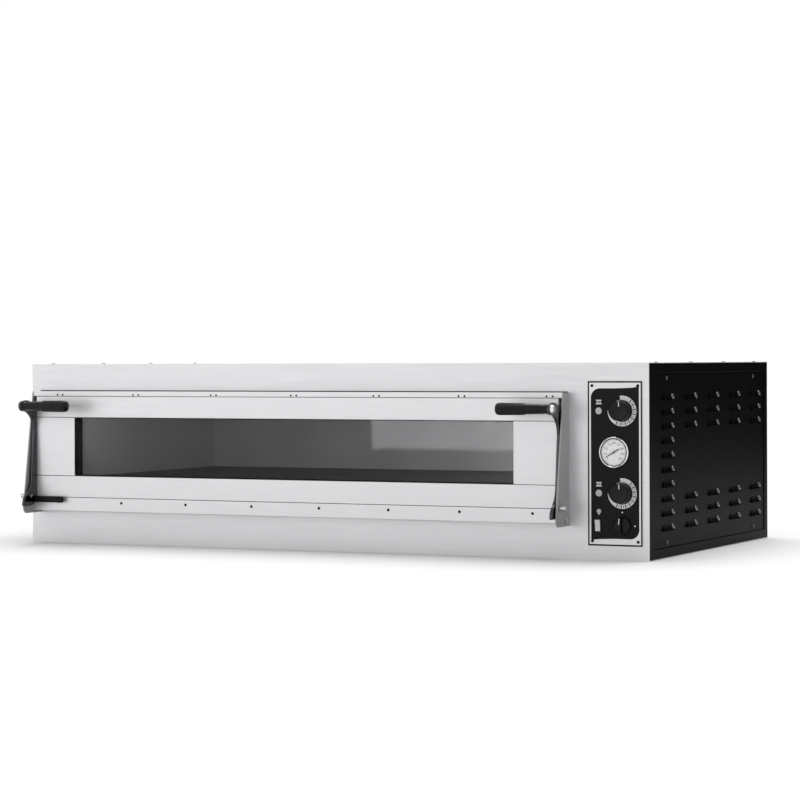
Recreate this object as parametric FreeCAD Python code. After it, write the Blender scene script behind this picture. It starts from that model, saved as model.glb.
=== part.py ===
"""Countertop electric pizza oven: cabinet, baking chamber, drop-down glass door and control panel.

Units are millimetres. X runs to the right, Y to the back and Z up. The origin is the centre of the
cabinet's underside. "Proud" distances are measured forwards from the front fascia's outer face.
"""
import FreeCAD, Part
import math
import os

Vector = FreeCAD.Vector

# ---- cabinet ----
CABINET_WIDTH = 1524.0
CABINET_DEPTH = 793.0
CABINET_HEIGHT = 413.0
COVER_SHEET = 1.5
BASE_SHEET = 2.0
FRAME_SHEET = 2.0
FRAME_FLANGE = 20.0
POST_BAND_FRONT = 30.0
POST_BAND_REAR = 23.0
RAIL_BAND = 22.0
PANEL_LIP = 20.0
PANEL_SHEET = 1.5
PANEL_SETBACK = 1.5
PANEL_EDGE_GAP = 1.0
PANEL_SCREW_INSET_X = 80.0
PANEL_SCREW_INSET_Z = 11.0
PANEL_SCREW_HEAD_RADIUS = 4.5
PANEL_SCREW_HEAD_HEIGHT = 2.0
COVER_SCREW_RADIUS = 4.0
COVER_SCREW_HEAD_HEIGHT = 1.6
COVER_SCREW_INSET = 11.0
COVER_SCREW_COUNT = 4
SCREW_SHANK_RADIUS = 1.8

# ---- side louvres ----
LOUVRE_LENGTH = 62.0
LOUVRE_HEIGHT = 14.5
LOUVRE_RISE = 4.5
LOUVRE_COLUMNS = 5
LOUVRE_ROWS = 10
LOUVRE_FIRST_REAR_END = 147.0
LOUVRE_LAST_REAR_INSET = 58.0
LOUVRE_FIRST_DROP = 73.0
LOUVRE_LAST_RISE = 64.6
LOUVRE_GROUP_ROWS = 3

# ---- baking chamber ----
CHAMBER_SIDE_INSET = 50.0
CHAMBER_FLOOR_Z = 104.0
CHAMBER_SHEET = 1.5
STONE_TOP_RISE = 46.0
STONE_THICKNESS = 17.0
STONE_COUNT = 3
STONE_GAP = 2.0
STONE_EDGE_GAP = 2.0
STONE_BAR_SHEET = 3.0
STONE_BAR_INSET = 5.0
MOUTH_SIDE_MARGIN = 10.0
MOUTH_TOP_MARGIN = 9.0

# ---- heating elements ----
ELEMENT_RADIUS = 4.2
ELEMENT_PAIRS = 3
ELEMENT_LEG_SPACING = 110.0
ELEMENT_FRONT_MARGIN = 65.0
ELEMENT_BACK_MARGIN = 65.0
ELEMENT_END_MARGIN = 30.0
ELEMENT_ROOF_DROP = 14.0
ELEMENT_FLOOR_RISE = 14.0
ELEMENT_HOLE_CLEARANCE = 0.6
ELEMENT_TERMINAL_LENGTH = 25.0
SADDLE_THICKNESS = 2.0
SADDLE_WIDTH = 18.0
SADDLE_END_INSET = 201.0

# ---- insulation and electrical compartment ----
ROOF_INSULATION = 70.0
ROOF_AIR_GAP = 15.0
BACK_INSULATION = 60.0
BACK_AIR_GAP = 28.5
RIGHT_INSULATION = 50.0
PARTITION_SHEET = 1.5
GEAR_CONTACTOR = (85.0, 45.0, 75.0)
GEAR_TERMINALS = (40.0, 90.0, 35.0)
GEAR_CONTACTOR_FROM_BACK = 355.0
GEAR_CONTACTOR_Z = 150.0
GEAR_CONTACTOR_PITCH = 60.0
GEAR_TERMINAL_FROM_BACK = 145.0
GEAR_TERMINAL_Z = 60.0
GLAND_RIGHT_INSET = 94.0
GLAND_Z = 60.0
GLAND_NUT_RADIUS = 17.0
GLAND_NUT_LENGTH = 9.0
GLAND_DOME_RADIUS = 13.0
GLAND_DOME_LENGTH = 14.0
GLAND_THREAD_RADIUS = 11.0
GLAND_BORE_RADIUS = 5.5
GLAND_LOCKNUT_LENGTH = 6.0
LAMP_Y_FROM_BACK = 150.0
LAMP_DROP = 60.0
LAMP_HOLDER_RADIUS = 22.0
LAMP_GLASS_RADIUS = 30.0
LAMP_GLASS_THICKNESS = 6.0
BULB_RADIUS = 3.0
BULB_LENGTH = 110.0
BULB_UPPER_DROP = 9.0
BULB_LOWER_DROP = 7.0
BULB_Y_FROM_BACK = 30.0
PASSAGE_CLEARANCE = 0.4

# ---- door surround ----
DOOR_LEFT_INSET = 32.0
CONTROL_COLUMN_WIDTH = 190.0
LEVER_GAP = 8.6
CHEEK_SHEET = 3.0
CHEEK_TOP_DROP = 62.5
CHEEK_TOP_PROUD = 31.0
CHEEK_TOE_PROUD = 72.0
CHEEK_TOE_RISE = 15.0
CHEEK_BOTTOM_DROP = 6.0
CHEEK_TOE_ROUND = 12.0
LINTEL_HEIGHT = 11.0
LINTEL_SHEET = 1.5
SILL_BOTTOM_Z = 76.0
SILL_HEIGHT = 30.5
SILL_SHEET = 1.5
SILL_SCREW_COUNT = 8
SILL_SCREW_END_INSET = 59.5
SILL_SCREW_RADIUS = 3.0
SILL_SCREW_HEAD_HEIGHT = 1.2
SILL_SCREW_DROP = 10.5
SILL_SCREW_LENGTH = 8.0
SURROUND_PROUD = 31.0
CHEEK_BOLT_PROUD = 21.0
CHEEK_BOLT_RISE = 6.0
CHEEK_BOLT_SHANK_RADIUS = 2.5
CHEEK_BOLT_ACROSS_FLATS = 8.0
CHEEK_BOLT_HEAD_HEIGHT = 4.0
CHEEK_BOLT_LENGTH = 12.0

# ---- door pivot ----
PIVOT_PROUD = 54.0
PIVOT_RISE = 3.0
PIN_RADIUS = 4.0
PIN_HEAD_RADIUS = 5.75
PIN_HEAD_LENGTH = 15.0
PIN_TAIL_LENGTH = 1.6
PIN_RUNNING_CLEARANCE = 0.05

# ---- door leaf ----
DOOR_SILL_GAP = 1.0
DOOR_BACK_PROUD = 5.0
DOOR_TOP_SWING_CLEARANCE = 0.5
DOOR_SHEET = 1.5
JOINT_GAP = 0.4
LOWER_RAIL_HEIGHT = 48.5
UPPER_RAIL_HEIGHT = 48.0
STILE_WIDTH = 103.0
GLASS_THICKNESS = 4.0
GLASS_OVERLAP = 10.0
GLASS_EDGE_CLEARANCE = 1.0
INNER_FRAME_SHEET = 1.5
GASKET_WIDTH = 10.0
GASKET_GAP = 0.3
GASKET_MOUTH_MARGIN = 3.0

# ---- levers and grips ----
LEVER_THICKNESS = 6.6
LEVER_HUB_RADIUS = 22.6
LEVER_TOE_PROUD = 83.7
LEVER_REAR_PROUD = 14.0
GRIP_PROUD = 85.0
GRIP_DROP = 22.5
GRIP_BOSS_RADIUS = 12.0
GRIP_LENGTH = 119.0
GRIP_OUTER_RADIUS = 10.3
GRIP_INNER_RADIUS = 13.5
GRIP_END_ROUND = 6.0
GRIP_ROD_RADIUS = 4.0
GRIP_ROD_DEPTH = 60.0
GRIP_NUT_RADIUS = 9.0
GRIP_NUT_LENGTH = 7.4
LEVER_SCREW_RISE = 40.5
LEVER_SCREW_DROP = 67.0
LEVER_SCREW_PROUD = 22.0
LEVER_SCREW_RADIUS = 4.0
LEVER_SCREW_HEAD_HEIGHT = 1.2
LEVER_SCREW_LENGTH = 9.0
FOOT_BAR_LENGTH = 77.0
FOOT_BAR_HEIGHT = 14.0
FOOT_BAR_THICKNESS = 6.0
FOOT_BAR_PROUD = 37.0
FOOT_BAR_DROP = 14.5

# ---- control panel ----
CONTROL_PLATE_RIGHT_INSET = 14.0
CONTROL_PLATE_WIDTH = 122.0
CONTROL_PLATE_BOTTOM_Z = 30.0
CONTROL_PLATE_TOP_INSET = 38.0
CONTROL_PLATE_SHEET = 2.0
CONTROL_SCREW_INSET = 10.0
CONTROL_SCREW_RADIUS = 3.2
CONTROL_SCREW_HEAD_HEIGHT = 1.4
CONTROL_SCREW_LENGTH = 9.0
KNOB_RIGHT_INSET = 59.0
UPPER_KNOB_DROP = 100.7
LOWER_KNOB_RISE = 110.4
SELECTOR_RISE = 43.0
KNOB_RADIUS = 22.5
KNOB_HEIGHT = 19.0
KNOB_GAP = 1.2
KNOB_RECESS_RADIUS = 9.0
KNOB_RECESS_DEPTH = 5.0
KNOB_EDGE_ROUND = 2.5
KNOB_POINTER_WIDTH = 2.4
KNOB_POINTER_DEPTH = 0.8
SELECTOR_RIDGE_INSET = 1.2
SELECTOR_RADIUS = 19.0
SELECTOR_SKIRT_HEIGHT = 6.0
SELECTOR_RIDGE_WIDTH = 9.0
SELECTOR_RIDGE_HEIGHT = 14.0
SPINDLE_RADIUS = 3.0
SPINDLE_BORE_DEPTH = 12.0
SPINDLE_TAIL = 14.0
BUSHING_RADIUS = 5.0
BUSHING_PROUD = 5.0
THERMOSTAT_SIZE = (40.0, 32.0, 36.0)
SELECTOR_BODY_SIZE = (44.0, 50.0, 44.0)
THERMOMETER_RIGHT_INSET = 76.0
THERMOMETER_BELOW_MIDDLE = 0.35
THERMOMETER_BEZEL_RADIUS = 33.5
THERMOMETER_BEZEL_DEPTH = 8.0
THERMOMETER_BEZEL_LIP = 4.5
THERMOMETER_BODY_RADIUS = 29.5
THERMOMETER_BODY_DEPTH = 24.0
THERMOMETER_DIAL_SHEET = 1.0
THERMOMETER_DIAL_PROUD = 2.5
THERMOMETER_GLASS_SHEET = 1.5
THERMOMETER_GLASS_INSET = 0.5
NEEDLE_ANGLE_DEG = 210.0
NEEDLE_LENGTH = 22.0
NEEDLE_TAIL = 13.0
NEEDLE_TIP_WIDTH = 0.8
NEEDLE_ROOT_WIDTH = 2.4
NEEDLE_THICKNESS = 0.6
NEEDLE_LIFT = 1.0
NEEDLE_HUB_RADIUS = 2.5
NEEDLE_ARBOR_RADIUS = 1.0
LAMP_COLUMN_RIGHT_INSET = 111.0
LAMP_RADIUS = 7.0
LAMP_HEIGHT = 2.5
SMALL_LAMP_RADIUS = 4.8
SMALL_LAMP_RISE = 72.5
LAMP_BODY_RADIUS = 4.0
LAMP_BODY_LENGTH = 22.0
ROCKER_RIGHT_INSET = 113.6
ROCKER_RISE = 43.5
ROCKER_BEZEL = (15.0, 30.0)
ROCKER_BEZEL_HEIGHT = 1.5
ROCKER_SIZE = (11.0, 24.0)
ROCKER_SIDE_CLEARANCE = 0.5
ROCKER_END_CLEARANCE = 1.2
ROCKER_WALL = 1.2
ROCKER_DEPTH = 22.0
ROCKER_PIVOT_DEPTH = 2.0
ROCKER_TILT_DEG = 8.0
ROCKER_PIN_RADIUS = 1.2
ROCKER_PIN_CLEARANCE = 0.08
ROCKER_FACE_PROUD = 4.0

# ---- values worked out from the driving dimensions ----
HALF_WIDTH = CABINET_WIDTH / 2
FRONT_Y = -CABINET_DEPTH / 2
BACK_Y = CABINET_DEPTH / 2
FASCIA_BACK_Y = FRONT_Y + COVER_SHEET
BACK_COVER_Y = BACK_Y - COVER_SHEET
TOP_COVER_Z = CABINET_HEIGHT - COVER_SHEET
DOOR_LEFT = -HALF_WIDTH + DOOR_LEFT_INSET
DOOR_RIGHT = HALF_WIDTH - CONTROL_COLUMN_WIDTH
DOOR_WIDTH = DOOR_RIGHT - DOOR_LEFT
CHAMBER_LEFT = DOOR_LEFT + CHAMBER_SIDE_INSET
CHAMBER_RIGHT = DOOR_RIGHT - CHAMBER_SIDE_INSET
CHAMBER_WIDTH = CHAMBER_RIGHT - CHAMBER_LEFT
CHAMBER_BACK_Y = BACK_COVER_Y - BACK_AIR_GAP - BACK_INSULATION - CHAMBER_SHEET
CHAMBER_ROOF_Z = TOP_COVER_Z - ROOF_AIR_GAP - ROOF_INSULATION - CHAMBER_SHEET
STONE_TOP_Z = CHAMBER_FLOOR_Z + STONE_TOP_RISE
STONE_BOTTOM_Z = STONE_TOP_Z - STONE_THICKNESS
MOUTH_LEFT = CHAMBER_LEFT + MOUTH_SIDE_MARGIN
MOUTH_RIGHT = CHAMBER_RIGHT - MOUTH_SIDE_MARGIN
MOUTH_BOTTOM_Z = STONE_TOP_Z
MOUTH_TOP_Z = CHAMBER_ROOF_Z - MOUTH_TOP_MARGIN
PARTITION_X = CHAMBER_RIGHT + CHAMBER_SHEET + RIGHT_INSULATION
COMPARTMENT_X = PARTITION_X + PARTITION_SHEET
GLAND_X = HALF_WIDTH - GLAND_RIGHT_INSET
CHEEK_LEFT_INNER = DOOR_LEFT - LEVER_GAP
CHEEK_RIGHT_INNER = DOOR_RIGHT + LEVER_GAP
CHEEK_TOP_Z = CABINET_HEIGHT - CHEEK_TOP_DROP
CHEEK_BOTTOM_Z = SILL_BOTTOM_Z - CHEEK_BOTTOM_DROP
CHEEK_TOE_Z = CHEEK_BOTTOM_Z + CHEEK_TOE_RISE
CHEEK_BOLT_Z = SILL_BOTTOM_Z + CHEEK_BOLT_RISE
LINTEL_BOTTOM_Z = CHEEK_TOP_Z - LINTEL_HEIGHT
SILL_TOP_Z = SILL_BOTTOM_Z + SILL_HEIGHT
SILL_SCREW_Z = SILL_TOP_Z - SILL_SCREW_DROP
DOOR_BOTTOM_Z = SILL_TOP_Z + DOOR_SILL_GAP
WINDOW_BOTTOM_Z = DOOR_BOTTOM_Z + LOWER_RAIL_HEIGHT
WINDOW_TOP_Z = LINTEL_BOTTOM_Z - DOOR_TOP_SWING_CLEARANCE - UPPER_RAIL_HEIGHT
DOOR_FACE_Y = FRONT_Y - SURROUND_PROUD
PIVOT_Y = FRONT_Y - PIVOT_PROUD
PIVOT_Z = SILL_TOP_Z + PIVOT_RISE
GRIP_Y = FRONT_Y - GRIP_PROUD
GRIP_Z = LINTEL_BOTTOM_Z - GRIP_DROP
LEVER_SCREW_HEIGHTS = (PIVOT_Z + LEVER_SCREW_RISE, GRIP_Z - LEVER_SCREW_DROP)
FOOT_BAR_BOTTOM_Z = PIVOT_Z - FOOT_BAR_DROP
PLATE_FACE_Y = FRONT_Y - CONTROL_PLATE_SHEET
KNOB_X = HALF_WIDTH - KNOB_RIGHT_INSET
UPPER_KNOB_Z = CABINET_HEIGHT - UPPER_KNOB_DROP
LOWER_KNOB_Z = CONTROL_PLATE_BOTTOM_Z + LOWER_KNOB_RISE
SELECTOR_Z = CONTROL_PLATE_BOTTOM_Z + SELECTOR_RISE
THERMOMETER_X = HALF_WIDTH - THERMOMETER_RIGHT_INSET
THERMOMETER_Z = (UPPER_KNOB_Z + LOWER_KNOB_Z) / 2 - THERMOMETER_BELOW_MIDDLE
LAMP_X = HALF_WIDTH - LAMP_COLUMN_RIGHT_INSET
LAMP_PLACES = (
    (LAMP_X, UPPER_KNOB_Z, LAMP_RADIUS),
    (LAMP_X, LOWER_KNOB_Z, LAMP_RADIUS),
    (LAMP_X, CONTROL_PLATE_BOTTOM_Z + SMALL_LAMP_RISE, SMALL_LAMP_RADIUS),
)
ROCKER_X = HALF_WIDTH - ROCKER_RIGHT_INSET
ROCKER_Z = CONTROL_PLATE_BOTTOM_Z + ROCKER_RISE
CONTROL_PLATE_TOP_Z = CABINET_HEIGHT - CONTROL_PLATE_TOP_INSET
WINDOW_LEFT = DOOR_LEFT + STILE_WIDTH
WINDOW_RIGHT = DOOR_RIGHT - STILE_WIDTH

ALONG_X = Vector(1, 0, 0)
FORWARD = Vector(0, -1, 0)
UP = Vector(0, 0, 1)


# ---- small tools ----
def block(x0, x1, y0, y1, z0, z1):
    """Return a box between two limits on each axis."""
    return Part.makeBox(x1 - x0, y1 - y0, z1 - z0, Vector(x0, y0, z0))


def rod(x, y, z, direction, radius, length):
    """Return a cylinder that starts at a point and runs along a direction."""
    return Part.makeCylinder(radius, length, Vector(x, y, z), direction)


def joined(shapes):
    """Return one clean solid from overlapping or touching shapes."""
    return shapes[0].fuse(shapes[1:]).removeSplitter()


def group(shapes):
    """Return separate solids as one compound."""
    return Part.makeCompound(shapes)


def profile_solid(edges, x0, thickness):
    """Return a plate between two planes square to X from edges drawn in the plane X = 0."""
    face = Part.Face(Part.Wire(Part.__sortEdges__(edges)))
    plate = face.extrude(Vector(thickness, 0, 0))
    plate.translate(Vector(x0, 0, 0))
    return plate


def side_point(proud, z):
    """Return the point in the plane X = 0 that stands proud of the fascia at a height."""
    return Vector(0, FRONT_Y - proud, z)


def line(start, end):
    """Return a straight edge between two (proud, z) places."""
    return Part.makeLine(side_point(*start), side_point(*end))


def arc(start, middle, end):
    """Return a circular edge through three (proud, z) places."""
    return Part.Arc(side_point(*start), side_point(*middle), side_point(*end)).toShape()


def save(name, shape):
    """Write one sub-part."""
    shape.exportStep(os.path.join("parts", name + ".step"))


# ---- cabinet shell ----
def frame_member(band, skin):
    """Return the (inset along the side, inset from the side) boxes of a folded frame member."""
    step = PANEL_SETBACK + PANEL_SHEET
    lip_outer = step
    lip_inner = step + FRAME_SHEET
    return (
        (skin, band, 0.0, FRAME_SHEET),
        (band - FRAME_SHEET, band, 0.0, lip_inner),
        (band - FRAME_SHEET, band + PANEL_LIP, lip_outer, lip_inner),
        (skin, skin + FRAME_SHEET, 0.0, FRAME_FLANGE),
    )


def side_frame(side):
    """Return the posts and rails of one side, where side is +1 at the right and -1 at the left."""
    def across(a, b):
        low, high = sorted((side * (HALF_WIDTH - a), side * (HALF_WIDTH - b)))
        return low, high

    front_post = []
    for a, b, c, d in frame_member(POST_BAND_FRONT, COVER_SHEET):
        x0, x1 = across(c, d)
        front_post.append(block(x0, x1, FRONT_Y + a, FRONT_Y + b, BASE_SHEET, TOP_COVER_Z))
    rear_post = []
    for a, b, c, d in frame_member(POST_BAND_REAR, COVER_SHEET):
        x0, x1 = across(c, d)
        rear_post.append(block(x0, x1, BACK_Y - b, BACK_Y - a, BASE_SHEET, TOP_COVER_Z))
    rail_front = FRONT_Y + POST_BAND_FRONT + PANEL_LIP
    rail_back = BACK_Y - POST_BAND_REAR - PANEL_LIP
    top_rail = []
    bottom_rail = []
    for a, b, c, d in frame_member(RAIL_BAND, COVER_SHEET):
        x0, x1 = across(c, d)
        top_rail.append(block(x0, x1, rail_front, rail_back, CABINET_HEIGHT - b, CABINET_HEIGHT - a))
    for a, b, c, d in frame_member(RAIL_BAND, BASE_SHEET):
        x0, x1 = across(c, d)
        bottom_rail.append(block(x0, x1, rail_front, rail_back, a, b))
    corners = []
    x0, x1 = across(0.0, FRAME_SHEET)
    for z0, z1 in ((TOP_COVER_Z - RAIL_BAND + COVER_SHEET, TOP_COVER_Z), (BASE_SHEET, RAIL_BAND)):
        corners.append(block(x0, x1, FRONT_Y + POST_BAND_FRONT, rail_front, z0, z1))
        corners.append(block(x0, x1, rail_back, BACK_Y - POST_BAND_REAR, z0, z1))
    return joined(front_post + rear_post + top_rail + bottom_rail + corners)


def louvre_places():
    """Return the (rear end from the fascia, drop of the louvre's middle) of each louvre."""
    rears = spread(LOUVRE_COLUMNS, LOUVRE_FIRST_REAR_END, CABINET_DEPTH - LOUVRE_LAST_REAR_INSET)
    drops = spread(LOUVRE_ROWS, LOUVRE_FIRST_DROP, CABINET_HEIGHT - LOUVRE_LAST_RISE)
    places = []
    for column, rear in enumerate(rears):
        for row, drop in enumerate(drops):
            outer_row = row < LOUVRE_GROUP_ROWS or row >= LOUVRE_ROWS - LOUVRE_GROUP_ROWS
            if column == 0 or outer_row:
                places.append((rear, drop))
    return places


def louvre_hood(x_face, side, y0, z_mid):
    """Return a pressed hood, highest along its open lower edge, and the slot that it covers."""
    z0 = z_mid - LOUVRE_HEIGHT / 2
    z1 = z_mid + LOUVRE_HEIGHT / 2
    outer = [
        Vector(x_face, y0, z1),
        Vector(x_face + side * LOUVRE_RISE, y0, z0),
        Vector(x_face, y0, z0),
    ]
    solid = Part.Face(Part.makePolygon(outer + [outer[0]])).extrude(Vector(0, LOUVRE_LENGTH, 0))
    wall = PANEL_SHEET
    hollow_points = [
        Vector(x_face - side * PANEL_SHEET, y0 + wall, z1 - 2 * wall),
        Vector(x_face, y0 + wall, z1 - 2 * wall),
        Vector(x_face + side * (LOUVRE_RISE - wall), y0 + wall, z0),
        Vector(x_face - side * PANEL_SHEET, y0 + wall, z0),
    ]
    hollow_face = Part.Face(Part.makePolygon(hollow_points + [hollow_points[0]]))
    return solid, hollow_face.extrude(Vector(0, LOUVRE_LENGTH - 2 * wall, 0))


def side_panel(side):
    """Return one louvred side panel."""
    x_face = side * (HALF_WIDTH - PANEL_SETBACK)
    x_back = x_face - side * PANEL_SHEET
    y0 = FRONT_Y + POST_BAND_FRONT + PANEL_EDGE_GAP
    y1 = BACK_Y - POST_BAND_REAR - PANEL_EDGE_GAP
    z0 = RAIL_BAND + PANEL_EDGE_GAP
    z1 = CABINET_HEIGHT - RAIL_BAND - PANEL_EDGE_GAP
    plate = block(min(x_face, x_back), max(x_face, x_back), y0, y1, z0, z1)
    hoods = []
    hollows = []
    for rear, drop in louvre_places():
        hood, hollow = louvre_hood(x_face, side, FRONT_Y + rear - LOUVRE_LENGTH, CABINET_HEIGHT - drop)
        hoods.append(hood)
        hollows.append(hollow)
    for x, y, z in panel_screw_places(side):
        hollows.append(rod(x, y, z, Vector(side, 0, 0), SCREW_SHANK_RADIUS, 2 * PANEL_SHEET))
    return plate.fuse(hoods).cut(group(hollows)).removeSplitter()


def panel_screw_places(side):
    """Return the place on the panel's back face of each of its screws."""
    x = side * (HALF_WIDTH - PANEL_SETBACK - PANEL_SHEET)
    ys = (FRONT_Y + POST_BAND_FRONT + PANEL_SCREW_INSET_X, BACK_Y - POST_BAND_REAR - PANEL_SCREW_INSET_X)
    zs = (RAIL_BAND + PANEL_SCREW_INSET_Z, CABINET_HEIGHT - RAIL_BAND - PANEL_SCREW_INSET_Z)
    return [(x, y, z) for y in ys for z in zs]


def spread(count, low, high):
    """Return evenly spaced places from low to high."""
    return [low + (high - low) * i / (count - 1) for i in range(count)]


def cover_screw_places():
    """Return the places of the screws in the top cover and the back cover, with their directions."""
    places = []
    for x in (-HALF_WIDTH + COVER_SCREW_INSET, HALF_WIDTH - COVER_SCREW_INSET):
        for y in spread(COVER_SCREW_COUNT, FRONT_Y + RAIL_BAND + PANEL_LIP + POST_BAND_FRONT,
                        BACK_Y - RAIL_BAND - PANEL_LIP - POST_BAND_REAR):
            places.append((x, y, CABINET_HEIGHT, UP))
        for z in spread(COVER_SCREW_COUNT, RAIL_BAND * 2, CABINET_HEIGHT - RAIL_BAND * 2):
            places.append((x, BACK_Y, z, -FORWARD))
    return places


def screw(x, y, z, outward, head_radius, head_height, shank_radius, length):
    """Return a screw whose head sits on the point and faces outward."""
    head = rod(x, y, z, outward, head_radius, head_height)
    shank = rod(x, y, z, -outward, shank_radius, length)
    return joined([head, shank])


def cabinet_screws():
    """Return the screws of the side panels, the top cover and the back cover."""
    screws = []
    for side in (-1, 1):
        for x, y, z in panel_screw_places(side):
            screws.append(screw(x + side * PANEL_SHEET, y, z, Vector(side, 0, 0), PANEL_SCREW_HEAD_RADIUS,
                                PANEL_SCREW_HEAD_HEIGHT, SCREW_SHANK_RADIUS, PANEL_SHEET + FRAME_SHEET))
    for x, y, z, outward in cover_screw_places():
        screws.append(screw(x, y, z, outward, COVER_SCREW_RADIUS, COVER_SCREW_HEAD_HEIGHT,
                            SCREW_SHANK_RADIUS, COVER_SHEET + FRAME_SHEET))
    return group(screws)


def screw_holes():
    """Return the holes that the cabinet screws fill in covers and frames."""
    holes = []
    reach = COVER_SHEET + FRAME_SHEET
    for side in (-1, 1):
        for x, y, z in panel_screw_places(side):
            holes.append(rod(x, y, z, Vector(-side, 0, 0), SCREW_SHANK_RADIUS, FRAME_SHEET))
    for x, y, z, outward in cover_screw_places():
        holes.append(rod(x, y, z, -outward, SCREW_SHANK_RADIUS, reach))
    return group(holes)


def build_shell():
    """Write the base, covers, frames, side panels and their screws."""
    holes = screw_holes()
    save("base_tray", block(-HALF_WIDTH, HALF_WIDTH, FASCIA_BACK_Y, BACK_COVER_Y, 0, BASE_SHEET))
    top = block(-HALF_WIDTH, HALF_WIDTH, FASCIA_BACK_Y, BACK_COVER_Y, TOP_COVER_Z, CABINET_HEIGHT)
    save("top_cover", top.cut(holes))
    back = block(-HALF_WIDTH, HALF_WIDTH, BACK_COVER_Y, BACK_Y, 0, CABINET_HEIGHT)
    gland_hole = rod(GLAND_X, BACK_COVER_Y, GLAND_Z, -FORWARD, GLAND_THREAD_RADIUS, COVER_SHEET)
    save("back_cover", back.cut(holes).cut(gland_hole))
    for name, side in (("left", -1), ("right", 1)):
        save("side_frame_" + name, side_frame(side).cut(holes))
        save("side_panel_" + name, side_panel(side))
    save("cabinet_screws", cabinet_screws())


# ---- front fascia and door surround ----
def fascia():
    """Return the front plate with the chamber mouth and the holes for the controls."""
    plate = block(-HALF_WIDTH, HALF_WIDTH, FRONT_Y, FASCIA_BACK_Y, 0, CABINET_HEIGHT)
    cuts = [block(MOUTH_LEFT, MOUTH_RIGHT, FRONT_Y, FASCIA_BACK_Y, MOUTH_BOTTOM_Z, MOUTH_TOP_Z)]
    return plate.cut(cuts + control_holes(FRONT_Y, COVER_SHEET))


def cheek(x0):
    """Return one tapered cheek plate with its pin hole and bolt hole."""
    toe = (CHEEK_TOE_PROUD, CHEEK_TOE_Z)
    bottom = (CHEEK_TOE_PROUD - CHEEK_TOE_ROUND, CHEEK_BOTTOM_Z)
    corner = (CHEEK_TOE_PROUD - CHEEK_TOE_ROUND * (1 - math.cos(math.pi / 4)),
              CHEEK_BOTTOM_Z + (CHEEK_TOE_Z - CHEEK_BOTTOM_Z) * (1 - math.sin(math.pi / 4)))
    edges = [
        line((0, CHEEK_TOP_Z), (CHEEK_TOP_PROUD, CHEEK_TOP_Z)),
        line((CHEEK_TOP_PROUD, CHEEK_TOP_Z), toe),
        arc(toe, corner, bottom),
        line(bottom, (0, CHEEK_BOTTOM_Z)),
        line((0, CHEEK_BOTTOM_Z), (0, CHEEK_TOP_Z)),
    ]
    plate = profile_solid(edges, x0, CHEEK_SHEET)
    pin_hole = rod(x0, PIVOT_Y, PIVOT_Z, ALONG_X, PIN_RADIUS, CHEEK_SHEET)
    bolt_y = FRONT_Y - CHEEK_BOLT_PROUD
    bolt_hole = rod(x0, bolt_y, CHEEK_BOLT_Z, ALONG_X, CHEEK_BOLT_SHANK_RADIUS, CHEEK_SHEET)
    return plate.cut([pin_hole, bolt_hole])


def lintel():
    """Return the folded strip above the door."""
    x0 = CHEEK_LEFT_INNER
    x1 = CHEEK_RIGHT_INNER
    lip_y = FRONT_Y - SURROUND_PROUD + LINTEL_SHEET
    top = block(x0, x1, FRONT_Y - SURROUND_PROUD, FRONT_Y, CHEEK_TOP_Z - LINTEL_SHEET, CHEEK_TOP_Z)
    lip = block(x0, x1, FRONT_Y - SURROUND_PROUD, lip_y, LINTEL_BOTTOM_Z, CHEEK_TOP_Z)
    return joined([top, lip])


def sill():
    """Return the folded strip below the door, with an end wall for each cheek bolt."""
    x0 = CHEEK_LEFT_INNER
    x1 = CHEEK_RIGHT_INNER
    outer = block(x0, x1, FRONT_Y - SURROUND_PROUD, FRONT_Y, SILL_BOTTOM_Z, SILL_TOP_Z)
    inner = block(x0 + SILL_SHEET, x1 - SILL_SHEET, FRONT_Y - SURROUND_PROUD + SILL_SHEET, FRONT_Y,
                  SILL_BOTTOM_Z + SILL_SHEET, SILL_TOP_Z - SILL_SHEET)
    cuts = [inner]
    for start in (x0, x1 - SILL_SHEET):
        cuts.append(rod(start, FRONT_Y - CHEEK_BOLT_PROUD, CHEEK_BOLT_Z, ALONG_X,
                        CHEEK_BOLT_SHANK_RADIUS, SILL_SHEET))
    for x in sill_screw_places():
        cuts.append(rod(x, FRONT_Y, SILL_SCREW_Z, FORWARD, SCREW_SHANK_RADIUS, SURROUND_PROUD))
    return outer.cut(cuts)


def sill_screw_places():
    """Return the X of each sill screw."""
    return spread(SILL_SCREW_COUNT, DOOR_LEFT + SILL_SCREW_END_INSET, DOOR_RIGHT - SILL_SCREW_END_INSET)


def hinge_pin(x_cheek, side):
    """Return a pin through a cheek into the lever, with a long head outside."""
    head = rod(x_cheek, PIVOT_Y, PIVOT_Z, Vector(side, 0, 0), PIN_HEAD_RADIUS, PIN_HEAD_LENGTH)
    shank_length = CHEEK_SHEET + LEVER_GAP + PIN_TAIL_LENGTH
    shank = rod(x_cheek, PIVOT_Y, PIVOT_Z, Vector(-side, 0, 0), PIN_RADIUS, shank_length)
    return joined([head, shank])


def hex_bolt(x_cheek, side):
    """Return a hexagon bolt through a cheek and the sill's end wall."""
    y = FRONT_Y - CHEEK_BOLT_PROUD
    corner = CHEEK_BOLT_ACROSS_FLATS / math.sqrt(3)
    points = []
    for i in range(7):
        angle = math.radians(60 * i)
        points.append(Vector(x_cheek, y + corner * math.cos(angle), CHEEK_BOLT_Z + corner * math.sin(angle)))
    head = Part.Face(Part.makePolygon(points)).extrude(Vector(side * CHEEK_BOLT_HEAD_HEIGHT, 0, 0))
    shank = rod(x_cheek, y, CHEEK_BOLT_Z, Vector(-side, 0, 0), CHEEK_BOLT_SHANK_RADIUS, CHEEK_BOLT_LENGTH)
    return joined([head, shank])


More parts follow.
